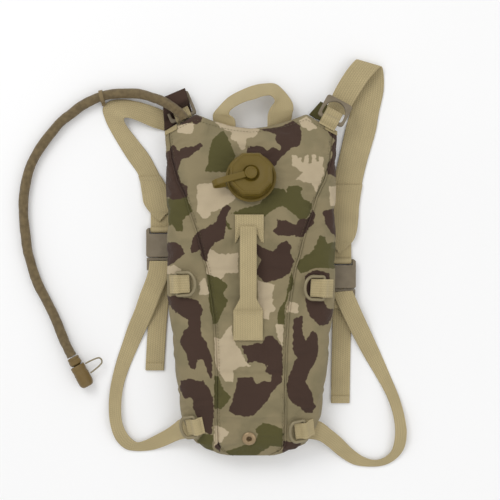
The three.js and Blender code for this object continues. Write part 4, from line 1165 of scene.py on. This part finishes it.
def add_zip():
    half = ZIP_SLOT / 2 - 0.3
    end = ZIP_HALF - 0.3
    edge = [(x, ZIP_Y + half, 5.0) for x in np.linspace(-end, end, 5)]
    other = [(x, ZIP_Y - half, 5.0) for x in np.linspace(-end, end, 5)]
    tape = webbing("zip_band", edge, other, 80, 1.1, 0.05)
    finish_piece(tape, ZIP_CLOTH, "pack", "zip_fabric", ["zip_tape"])
    points, faces = [], []
    pitch = 2.6
    for k in range(int((2 * end - 12) / pitch)):
        for side in (-1, 1):
            x = -end + 6 + pitch * (k + (0.25 if side > 0 else 0.75))
            first = len(points)
            for z in (3.6, 4.5):
                for dx, dy in ((-0.85, -2.0), (0.85, -2.0), (0.6, 0.9), (-0.6, 0.9)):
                    points.append((x + dx, ZIP_Y - side * dy, z))
            faces += [tuple(first + i for i in f) for f in (
                (0, 1, 2, 3), (7, 6, 5, 4), (0, 4, 5, 1), (1, 5, 6, 2), (2, 6, 7, 3), (3, 7, 4, 0))]
    teeth = make("zip_teeth", points, faces, smooth=False)
    finish_piece(teeth, ZIP_METAL, "pack", "zip_metal")


# ---------------------------------------------------------------- cap
def turned_ring(radius, height, sides=96):
    """A ring of points round the filler's axis; radius is a number or a function of the angle."""
    size = radius if callable(radius) else (lambda angle: radius)
    points = []
    for k in range(sides):
        angle = 2 * math.pi * (k + 0.5) / sides
        r = size(angle)
        points.append(ON_FILLER @ vector(r * math.cos(angle), r * math.sin(angle), height))
    return points


def octagon(apothem):
    """Radius of an eight-sided outline, at an angle, whose corners are rounded."""
    def radius(angle):
        local = (angle + math.pi / 8) % (math.pi / 4) - math.pi / 8
        return min(apothem / math.cos(local), apothem * 1.073)  # a sharp corner would be at 1.082
    return radius


def add_cap():
    neck = lathe("filler_flange", rounded([
        (18.5, -20), (21.5, -20), (21.5, 0.6), (29.5, 0.9), (31.5, 1.4), (31.5, 2.6), (30.4, 3.5),
        (28.6, 3.6), (27.9, 3.1), (21.9, 3.5), (21.5, 4.4), (21.5, 15), (18.5, 15), (18.5, -20),
    ], 0.45), ON_FILLER, 96)
    finish_piece(neck, CAP_PLASTIC, "pack", "cap_plastic", ["filler_neck"])
    sides = 96
    flat = CAP_FLATS / 2
    points = []
    for r, z in ((0.01, 18.6), (22, 18.6), (22, CAP_BASE)):
        points += turned_ring(r, z, sides)
    for apothem, z in (
        (flat - 0.9, CAP_BASE), (flat - 0.2, CAP_BASE + 0.8), (flat - 0.2, 12), (flat - 0.2, 20.2),
        (flat - 0.2, 20.6), (flat - 0.4, 21), (flat - 0.7, 21.3), (flat - 1.8, 22.4),
        (flat - 2.1, CAP_TOP - 0.2), (flat - 2.5, CAP_TOP), (flat - 3.4, CAP_TOP),
        (flat - 3.9, CAP_TOP - 0.6),
        (flat - 4.6, CAP_TOP - 0.7), (flat - 7, CAP_TOP - 0.7),
    ):
        points += turned_ring(octagon(apothem), z, sides)
    for r, z in (
        (11.4, CAP_TOP - 0.7), (10.8, CAP_TOP - 0.9), (10.3, CAP_TOP - 1), (10.2, 21.1), (0.01, 21.1),
    ):
        points += turned_ring(r, z, sides)
    cap = face_out(make("cap_shell", points, ring_faces(len(points) // sides, sides)))
    finish_piece(cap, CAP_PLASTIC, "cap", "cap_plastic", ["cap"])
    boss = lathe("tether_boss", rounded([
        (0, 21.3), (6, 21.3), (6, 23.2), (7.7, 23.4), (7.7, 26.4), (6.9, 27.2), (5.6, 27.2),
        (5.2, 26.7), (0, 26.7),
    ], 0.35), ON_FILLER, 64)
    finish_piece(boss, CAP_PLASTIC, "cap_lifter", "cap_plastic", ["cap_boss"])
    heading = vector(-0.965, -0.262, 0)
    across = vector(-0.262, 0.965, 0)
    path = [(7.4, 24.9), (18, 25), (29, 25), (38, 24.6), (44, 23), (47.6, 19), (48.4, 14.5),
            (46.5, 9.5), (41.5, 5.5), (36, 3.8), (32.5, 3.2)]
    edges = []
    for sign in (-1, 1):
        edge = [heading * out + across * (4 * sign) + vector(0, 0, height) for out, height in path]
        edges.append([ON_FILLER @ point for point in edge])
    arm = webbing("tether_arm", *edges, 90, 1.8, 0)
    arm.data.materials.clear()
    arm.data.materials.append(CAP_PLASTIC)
    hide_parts("cap_tether")
    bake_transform(arm)


# ---------------------------------------------------------------- rings and tabs
RINGS = [
    {"name": "side_left", "x": -91.5, "y": -11, "bow": (1, 0.05), "size": (33, 30), "straight": 0.5,
     "tail": 17, "root": 11, "web": 23},
    {"name": "side_right", "x": 89.5, "y": -16, "bow": (-1, 0.05), "size": (33, 30), "straight": 0.5,
     "tail": 17, "root": 14, "web": 23},
    {"name": "lower_left", "x": -68, "y": -189, "bow": (-1, -0.2), "size": (31, 24), "straight": 0.5,
     "tail": 12.5, "root": 9, "web": 21.5},
    {"name": "lower_right", "x": 66.5, "y": -193, "bow": (-1, -0.12), "size": (31, 24),
     "straight": 0.5, "tail": 12.5, "root": 13, "web": 21.5},
    {"name": "top_left", "at": (-86, 201, 10.3), "bow": (-0.38, 0.92), "size": (36, 33), "slope": 0,
     "tail": 13, "root": 6, "web": 21},
    {"name": "top_right", "at": (100, 196, 31.5), "bow": (0.47, 0.88), "size": (36, 33), "slope": 20,
     "tail": 16, "root": 9, "web": 22},
]


def ring_frame(ring):
    heading = vector(*ring["bow"], 0).normalized()
    if "at" not in ring:
        point, normal, along, side = surface_frame(ring["x"], ring["y"], heading)
        return basis(point + normal * 4.7, side, along, normal)
    slope = math.radians(ring["slope"])
    along = heading * math.cos(slope) + vector(0, 0, -math.sin(slope))
    side = heading.cross(vector(0, 0, 1))
    return basis(vector(*ring["at"]), side, along, side.cross(along))


def wire_ring(ring, placed):
    """A D ring of round wire, its bar along X and its bow towards +Y."""
    width, depth = ring["size"]
    half = width / 2 - RING_WIRE / 2
    turn = depth * ring["straight"]
    reach = depth - RING_WIRE - turn
    corners = [
        vector(-half + 2, 0, 0), vector(half - 2, 0, 0), vector(half - 0.5, 0.6, 0), vector(half, 2.4, 0),
    ]
    bow = [
        vector(half * math.cos(math.pi * i / 24), turn + reach * math.sin(math.pi * i / 24), 0)
        for i in range(25)
    ]
    loop = corners + bow + [vector(-half, 2.4, 0), vector(-half + 0.5, 0.6, 0)]
    path = resampled(loop + [loop[0]], 150)[:-1]
    path = [placed @ p for p in path]
    return sweep(f"d_ring_{ring['name']}", path, RING_WIRE / 2 - 0.05, 16, closed=True)


def plate_ring(ring, placed):
    """A flat moulded ring, square outside, with a D-shaped hole."""
    width, depth = ring["size"]
    half = width / 2
    low, high = -RING_WIRE / 2, depth - RING_WIRE / 2
    wall = 3.9
    count = 96

    def outline(inset, corner, arch):
        """Closed outline; arch rounds its far side into a bow."""
        x1, y0, y1 = half - inset, low + inset, high - inset
        points = []
        for k in range(count):
            angle = 2 * math.pi * (k + 0.5) / count
            c, s = math.cos(angle), math.sin(angle)
            power = 2 / (corner if s < 0 or not arch else 2.1)
            middle = y0 + (y1 - y0) * (0.35 if arch else 0.5)
            tall = (y1 - middle) if s > 0 else (middle - y0)
            x = x1 * math.copysign(abs(c) ** power, c)
            points.append((x, middle + tall * math.copysign(abs(s) ** power, s)))
        return points

    tall = RING_WIRE / 2
    outer_side = [(0.9, -tall), (0.25, -tall + 0.3), (0, -tall + 0.9), (0, tall - 0.9),
                  (0.25, tall - 0.3), (0.9, tall)]
    inner_side = [(wall - 0.8, tall), (wall - 0.2, tall - 0.4), (wall, tall - 1.0), (wall, -tall + 1.0),
                  (wall - 0.2, -tall + 0.4), (wall - 0.8, -tall)]
    points = []
    for inset, z in outer_side:
        points += [placed @ vector(x, y, z) for x, y in outline(inset, 9, False)]
    for inset, z in inner_side:
        points += [placed @ vector(x, y, z) for x, y in outline(inset, 6, True)]
    rings = len(outer_side) + len(inner_side)
    faces = ring_faces(rings, count, False)
    last = (rings - 1) * count
    faces += [(last + k, last + (k + 1) % count, (k + 1) % count, k) for k in range(count)]
    return face_out(make(f"moulded_ring_{ring['name']}", points, faces))


def tab_loop(ring, placed):
    """Webbing that runs over and under the bar and is sewn together on both sides of it."""
    tail, root, half = ring["tail"], ring["root"], ring["web"] / 2
    name = ring["name"]

    def strip(path, width, label, count, thickness):
        edges = [[placed @ vector(side, y, z) for y, z in path] for side in (-width, width)]
        return tan_webbing(label, *edges, count, thickness, 0.08, [f"tab_{name}"])

    above = [(-root, -4.4), (-root * 0.75, -3.2), (-5.2, -0.4), (-3.2, 2.1), (-1.4, 3.3), (0, TAB_LOOP),
             (1.4, 3.3), (3.2, 2.1), (5.2, -0.2), (7.5, -1.4), (tail - 1, -1.9), (tail, -2.3)]
    strip(above, half, f"ring_tab_{name}", 90, 1.45)
    below = [(-root, -5.0), (-3, -TAB_LOOP), (0, -TAB_LOOP), (3, -TAB_LOOP), (tail - 0.3, -3.5)]
    strip(below, half - 0.2, f"tab_base_{name}", 30, 1.2)
    rows = []
    for y in (7.2, tail - 1.8):
        rows.append([placed @ vector(x, y, -0.9) for x in np.linspace(-half + 2, half - 2, 9)])
    if tail > 12:
        rows += [[placed @ vector(x, y, -0.85) for y in np.linspace(7.2, tail - 1.8, 5)]
                 for x in (-half + 2, half - 2)]
    stitches(f"tab_stitching_{name}", rows, 2.8, 0.62, 0.38, THREAD)


def add_rings():
    for ring in RINGS:
        name = ring["name"]
        placed = ring_frame(ring)
        if name.startswith("top"):
            piece, material, slot = plate_ring(ring, placed), BUCKLE_PLASTIC, "buckle_plastic"
        else:
            piece, material, slot = wire_ring(ring, placed), RING_METAL, "ring_metal"
        finish_piece(piece, material, f"ring_{name}", slot, [f"ring_{name}"])
        tab_loop(ring, placed)


# ---------------------------------------------------------------- straps
STRAPS = {
    "left": (
        [(-101, 206, 1.4), (-113, 211, 1.6), (-128, 217, 3.6), (-150, 223, 2.5), (-169, 225, 1.6),
         (-183, 222, 1.4), (-190, 214, 1.4), (-187, 199, 1.3), (-177, 179, 1.3), (-160, 151, 1.3),
         (-143.5, 126, 1.3), (-139, 105, 2.2), (-136.5, 92, 4.6), (-131, 83, 5.5), (-124, 75.5, 5.5),
         (-118.2, 69.2, 5.5)],
        [(-101, 183, 1.4), (-113, 185.5, 1.8), (-126, 189, 6), (-143, 196, 12), (-156, 200, 16),
         (-161, 200, 16), (-162, 197, 13), (-158, 189, 7), (-148, 176, 3), (-131, 154, 1.3),
         (-117, 128, 1.3), (-105, 105, 2.2), (-102.5, 92, 4.6), (-103, 84, 5.5), (-110, 76.5, 5.5),
         (-117, 69, 5.5)],
    ),
    "right": (
        [(97, 215, 8), (110, 242, 12), (125, 265, 13), (135, 275.5, 7.5), (132, 266, 2), (132, 240, 1.3),
         (128, 212, 1.3), (122, 190, 1.3), (114, 155, 1.3), (107, 124, 1.3), (102, 90, 1.3),
         (101, 70, 2.4), (101.5, 56, 4.8), (103.5, 44, 5.5), (108, 34.5, 5.5), (112.8, 28.6, 5.5)],
        [(122, 203, 8), (136, 228, 12), (154, 254, 13), (167, 266, 7.5), (170, 258, 2), (170, 236, 1.3),
         (164, 207, 1.3), (160, 184, 1.3), (150, 149, 1.3), (143, 120, 1.3), (138, 90, 1.3),
         (136.5, 70, 2.4), (134.5, 56, 4.8), (130, 44, 5.5), (122.5, 36, 5.5), (114, 28.2, 5.5)],
    ),
}
TOP = 11.6  # height of a lower strap where it lies over the ladder lock
LOWER_STRAPS = {
    "left": (
        [(-129.5, 18, TOP), (-131, 6, TOP), (-134.5, -6, TOP), (-141.5, -24, 10.8), (-149, -45, 6.4),
         (-157, -64, 2.8),
         (-164.5, -86, 1.3), (-173, -112, 1.2), (-180, -142, 3), (-182, -166, 7), (-180, -190, 9),
         (-173, -211, 6), (-161, -223, 2.5), (-148, -226, 1.4), (-128, -225, 1.6), (-110, -219, 6),
         (-95, -211.5, 14), (-86, -208, 20), (-68, -206, 22)],
        [(-104.5, 18, TOP), (-105.5, 6, TOP), (-108, -8, TOP), (-114.5, -24, 11), (-122.5, -44, 8),
         (-130.5, -62, 5), (-140, -82, 2.2), (-149, -102, 1.3), (-156, -119, 1.2),
         (-163, -141, 3), (-166, -165, 7), (-164, -190, 9),
         (-156, -206, 8), (-146, -214, 7), (-136, -212, 5), (-122, -205, 5), (-108, -197, 9),
         (-97, -188.5, 16), (-92, -184, 21), (-78, -180, 22)],
    ),
    "right": (
        [(104.5, -22, TOP), (108, -32, TOP), (114, -45, TOP), (122, -61, 11), (131, -79, 6.6),
         (144, -103, 2), (159.5, -129, 1.4), (174, -156, 4), (182, -181, 8), (184, -204, 9),
         (180, -224, 7), (172, -233, 5),
         (160, -237, 5), (146, -234, 5), (131, -224, 5), (115, -208, 8), (101, -196, 15),
         (90, -187, 21), (78, -182, 22)],
        [(129.5, -20, TOP), (134, -30, TOP), (140.5, -45, 10.8), (147, -59, 8.8), (155, -76, 4.8),
         (166.5, -101, 1.6), (178.5, -129, 1.2), (190, -157, 4), (196.5, -182, 8), (199, -203, 9),
         (196, -222, 5),
         (187, -235, 2.5), (172, -244, 1.4), (150, -246, 1.4), (131, -243, 1.6), (113, -232, 6),
         (97, -218, 14), (85, -210, 20), (66, -207, 22)],
    ),
}
LAYER_TOP = {"left": 127, "right": 116}  # where the second layer of the shoulder webbing begins
TAILS = {"left": (144, -7), "right": (146, -2)}  # length of the free end and how far it leans


def add_straps():
    for side in ("left", "right"):
        left, right = STRAPS[side]
        tan_webbing(f"shoulder_webbing_{side}", left, right, 220, WEB, 0.35, [f"shoulder_strap_{side}"])
        left, right = LOWER_STRAPS[side]
        tan_webbing(f"lower_webbing_{side}", left, right, 260, 1.3, 0.35, [f"lower_strap_{side}"])
        x, mouth = BUCKLES[side]
        add_tail(side, x, mouth)
        add_strap_end(side, x, mouth)


def add_tail(side, x, mouth):
    """Webbing over the ladder lock, round its middle bar and down beneath, with a folded end."""
    body = f"buckle_male_{side}"
    length, skew = TAILS[side]
    bar = mouth - 8.5
    turn = 3.3
    middle = BUCKLE_LIFT + BUCKLE_HEIGHT / 2
    end = mouth - length
    bend = turn * 0.72
    path = [
        (mouth - 25, 8.2, 0), (mouth - 22, 8.3, 0), (mouth - 18, 8.5, 0), (bar, middle + turn, 0),
        (bar + bend, middle + bend, 0), (bar + turn, middle, 0), (bar + bend, middle - bend, 0),
        (bar, middle - turn, 0), (mouth - 18, middle - turn, 0), (mouth - 42, 2.2, 0),
        (mouth - 58, 1.6, skew * 0.2), (end + 50, 1.8, skew * 0.6), (end + 20, 1.8, skew * 0.85),
        (end, 1.8, skew),
    ]
    half = (WEB_NARROW - 1) / 2
    edges = [[(x + shift + sign * half, y, z) for y, z, shift in path] for sign in (-1, 1)]
    tan_webbing(f"adjuster_webbing_{side}", *edges, 240, 1.2, 0.15,
                [f"strap_tail_{side}"], body)
    hem = [(end + 9, 3.1, skew * 0.93), (end + 4, 3.05, skew * 0.97), (end + 0.6, 2.8, skew),
           (end - 0.2, 2.1, skew)]
    edges = [[(x + shift + sign * (half - 0.3), y, z) for y, z, shift in hem] for sign in (-1, 1)]
    tan_webbing(f"tail_hem_{side}", *edges, 24, 1.2, 0, body=body)
    span = np.linspace(-half + 1.5, half - 1.5, 9)
    rows = [[vector(x + skew + s, end + shift, 3.75) for s in span] for shift in (2.5, 7)]
    stitches(f"tail_stitching_{side}", rows, 3.0, 0.6, 0.42, THREAD, body=body)


def add_strap_end(side, x, mouth):
    """Loop round the fixed bar of the female half, under the pointed end of the shoulder webbing."""
    bar_y = mouth + FEMALE_LENGTH - 2.2
    bar_z = BUCKLE_LIFT + BUCKLE_HEIGHT / 2
    tail = 28.3 if side == "left" else 36.8
    half = (WEB_NARROW - 1) / 2
    path = [vector(0, tail, -1.6), vector(0, tail - 6, -1.6), vector(0, 5.2, -1.6)]
    for k in range(17):
        angle = math.radians(-22 + 292 * k / 17)
        path.append(vector(0, math.cos(angle) * TAB_LOOP, math.sin(angle) * TAB_LOOP))
    path += [vector(0, 0, -TAB_LOOP), vector(0, 6, -TAB_LOOP), vector(0, tail, -TAB_LOOP)]
    origin = vector(x, bar_y, bar_z)
    edges = [[origin + p + vector(sign * half, 0, 0) for p in path] for sign in (-1, 1)]
    tan_webbing(f"buckle_loop_{side}", *edges, 140, 1.4, 0.05, [f"strap_end_{side}"])
    top = LAYER_TOP[side]
    left, right = ([point for point in curve(edge, 440)[200:] if point.y < top] for edge in STRAPS[side])
    count = min(len(left), len(right))
    left = [left[k * (len(left) - 1) // (count - 1)] for k in range(count)]
    right = [right[k * (len(right) - 1) // (count - 1)] for k in range(count)]
    lift = vector(0, 0, 1.45)
    wide = [[a + (a - b).normalized() * 0.9 + lift for a, b in zip(near, far)]
            for near, far in ((left, right), (right, left))]
    tan_webbing(f"strap_layer_{side}", *wide, 120, 1.4, 0.1)
    lift = vector(0, 0, 2.3)
    rows = []
    for near, far in ((left, right), (right, left)):
        rows.append([near[k].lerp(far[k], 0.07) + lift for k in range(4, count - 3, 3)])
    for share in (0.05, 0.66, 0.72):
        k = int(share * (count - 1))
        rows.append([left[k].lerp(right[k], t) + lift for t in np.linspace(0.1, 0.9, 12)])
    stitches(f"strap_point_stitching_{side}", rows, 3.0, 0.62, 0.42, THREAD)


# ---------------------------------------------------------------- handles
def add_top_handle():
    outer = [
        (-46, 188, 9), (-48, 196, 11), (-48.8, 202, 12), (-48, 206, 12), (-46, 209, 12),
        (-42, 213.5, 12), (-30, 225.5, 12), (-16, 234, 12), (1.5, 241, 12), (17, 244, 12),
        (31, 243.5, 13), (42.5, 234, 15), (52.5, 219.5, 17), (54, 211.5, 17.5), (52.5, 205, 15.5),
        (51.5, 198, 12.5), (51, 189, 11),
    ]
    inner = [
        (-20.8, 182, 17), (-19.6, 192, 21), (-21.5, 198.5, 24), (-28, 203.8, 25), (-27, 207, 26.5),
        (-25.5, 209, 27.5), (-16.5, 215, 30), (-7, 219.5, 31), (6, 223, 31), (14.5, 226, 31),
        (25, 227, 29), (30, 220.5, 27), (24.5, 212, 25), (22, 206, 24), (21, 200.5, 23),
        (21, 193, 21.5), (21, 183, 20),
    ]
    handle = webbing("carry_handle", outer, inner, 240, 1.9, 0.5)
    handle.data.materials.append(WEBBING)
    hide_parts("top_handle")
    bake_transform(handle)


def add_front_handle():
    """Webbing folded narrow at the grip and spread wide where it is sewn down."""
    middle = -3.5
    sewn_to = -44  # below this the webbing is sewn down flat

    def height(y):
        return body_point(0, y).z

    def half(y):
        if y < sewn_to:
            return 18.5
        return 10.4 + 8.1 * max(0, 1 - (y - sewn_to) / 15)

    def lift(y):
        if y < sewn_to:
            return 1.6
        t = min(1, (y - sewn_to) / 103)
        return 1.6 + 2.2 * min(1, (y - sewn_to) / 10) + 12.5 * math.sin(math.pi * t) ** 0.75

    ys = [-81, -76, -69, -60, -50, -44, -40, -36, -32, -28, -22, -14, -4, 8, 20, 32, 44, 52, 58, 61]
    edges = []
    for sign in (-1, 1):
        edges.append([vector(middle + sign * half(y), y, height(y) + lift(y)) for y in ys])
    tan_webbing("front_handle_webbing", *edges, 200, 2.0, 0.2,
                ["front_handle", "handle_patch_lower"])
    for sign in (-1, 1):
        fold_ys = [-26, -14, 0, 16, 32, 46, 56]
        outer = [vector(middle + sign * 10.2, y, height(y) + lift(y) - 1.3) for y in fold_ys]
        inner = [vector(middle + sign * 1.2, y, height(y) + lift(y) - 1.9) for y in fold_ys]
        name = "left" if sign < 0 else "right"
        tan_webbing(f"handle_fold_{name}", outer, inner, 80, 1.4, 0.1)
    patch_ys = (57, 62, 67, 72, 76)
    patch_edges = [[vector(-2 + sign * 18, y, height(y) + 1.5) for y in patch_ys] for sign in (-1, 1)]
    tan_webbing("handle_patch", *patch_edges, 40, 1.5, 0.1, ["handle_patch_upper"])
    for sign in (-1, 1):
        ear_ys = [58, 53, 48, 43, 41]
        outer = [vector(-2 + sign * 17.8, y, height(y) + 1.3 + (58 - y) * 0.1) for y in ear_ys]
        inner = [vector(-3 + sign * (6 + (58 - y) * 0.55), y + 1, height(y) + 1.6) for y in ear_ys]
        name = "left" if sign < 0 else "right"
        tan_webbing(f"handle_ear_{name}", outer, inner, 30, 1.3, 0.2)
    rows = []
    for y in (64, 74):
        rows.append([vector(x, y, height(y) + 2.35) for x in np.linspace(-17, 13, 16)])
    for x in (-18.5, 14.5):
        rows.append([vector(x, y, height(y) + 2.35) for y in np.linspace(59, 74, 8)])
    for y in (-79, -46, -48.5):
        rows.append([vector(x, y, height(y) + 2.7) for x in np.linspace(-20, 13, 16)])
    for x in (-20.5, 13.5):
        rows.append([vector(x, y, height(y) + 2.65) for y in np.linspace(-79, -48, 16)])
    stitches("handle_stitching", rows, 3.0, 0.62, 0.4, THREAD)


# ---------------------------------------------------------------- small parts
def add_eyelet():
    point, normal, along, side = surface_frame(*EYELET, vector(0, 1, 0))
    placed = basis(point, side, along, normal)
    eyelet = lathe("brass_eyelet", rounded([
        (3.2, -2.5), (3.2, 1.5), (4.0, 2.4), (6.2, 2.5), (8.2, 1.5), (8.9, 0.5), (8.4, 0.2), (4.6, 0.2),
        (4.4, -2.5), (3.2, -2.5),
    ], 0.5), placed, 64)
    finish_piece(eyelet, BRASS, "pack", "eyelet_brass", ["drain_eyelet"])


def refined(node, name, material, slot, width):
    """A CAD node's own shape with its edges rounded, as moulded parts have."""
    source = NODES[node]
    piece = bpy.data.objects.new(name, source.data.copy())
    bpy.context.scene.collection.objects.link(piece)
    modified(
        piece,
        ("WELD", {"merge_threshold": 0.00002}),
        ("DECIMATE", {"decimate_type": "DISSOLVE", "angle_limit": math.radians(2)}),
        ("BEVEL", {"width": width * MM, "segments": 2, "limit_method": "ANGLE",
                   "angle_limit": math.radians(32), "harden_normals": False}),
    )
    for polygon in piece.data.polygons:
        polygon.use_smooth = True
    modified(piece, ("WEIGHTED_NORMAL", {"keep_sharp": True, "weight": 60}))
    return finish_piece(piece, material, source["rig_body"], slot, [node])


def add_moulded_parts():
    for side in ("left", "right"):
        refined(f"buckle_female_{side}", f"buckle_socket_{side}", BUCKLE_PLASTIC, "buckle_plastic", 0.5)
        refined(f"buckle_male_{side}", f"buckle_plug_{side}", BUCKLE_PLASTIC, "buckle_plastic", 0.4)
        for place in ("inner", "outer"):
            refined(f"prong_{side}_{place}", f"buckle_prong_{side}_{place}", BUCKLE_PLASTIC,
                    "buckle_plastic", 0.35)
    refined("zip_slider", "slider_body", ZIP_METAL, "zip_metal", 0.25)
    refined("zip_puller", "slider_pull", ZIP_METAL, "zip_metal", 0.15)
    refined("hose_keeper", "elastic_keeper", ELASTIC, "elastic", 0.2)


def paint_kept_nodes():
    """Materials of the CAD nodes that show as they are."""
    looks = {"insulation_liner": FOIL, "bladder": FILM, "neck_gasket": RUBBER, "inner_tube": RUBBER}
    for node, material in looks.items():
        mesh = NODES[node].data
        mesh.materials.clear()
        mesh.materials.append(material)


# ---------------------------------------------------------------- build
add_camera()
hose, hose_path, hose_length = add_hose()
on_hose = add_valve()
[tuple(p * MM) for p in hose_path[::6]]
add_floor()
add_lights()
add_body()
add_mouths()
add_flaps()
add_rear()
add_cap()
add_rings()
add_straps()
add_top_handle()
add_front_handle()
add_eyelet()
add_moulded_parts()
paint_kept_nodes()
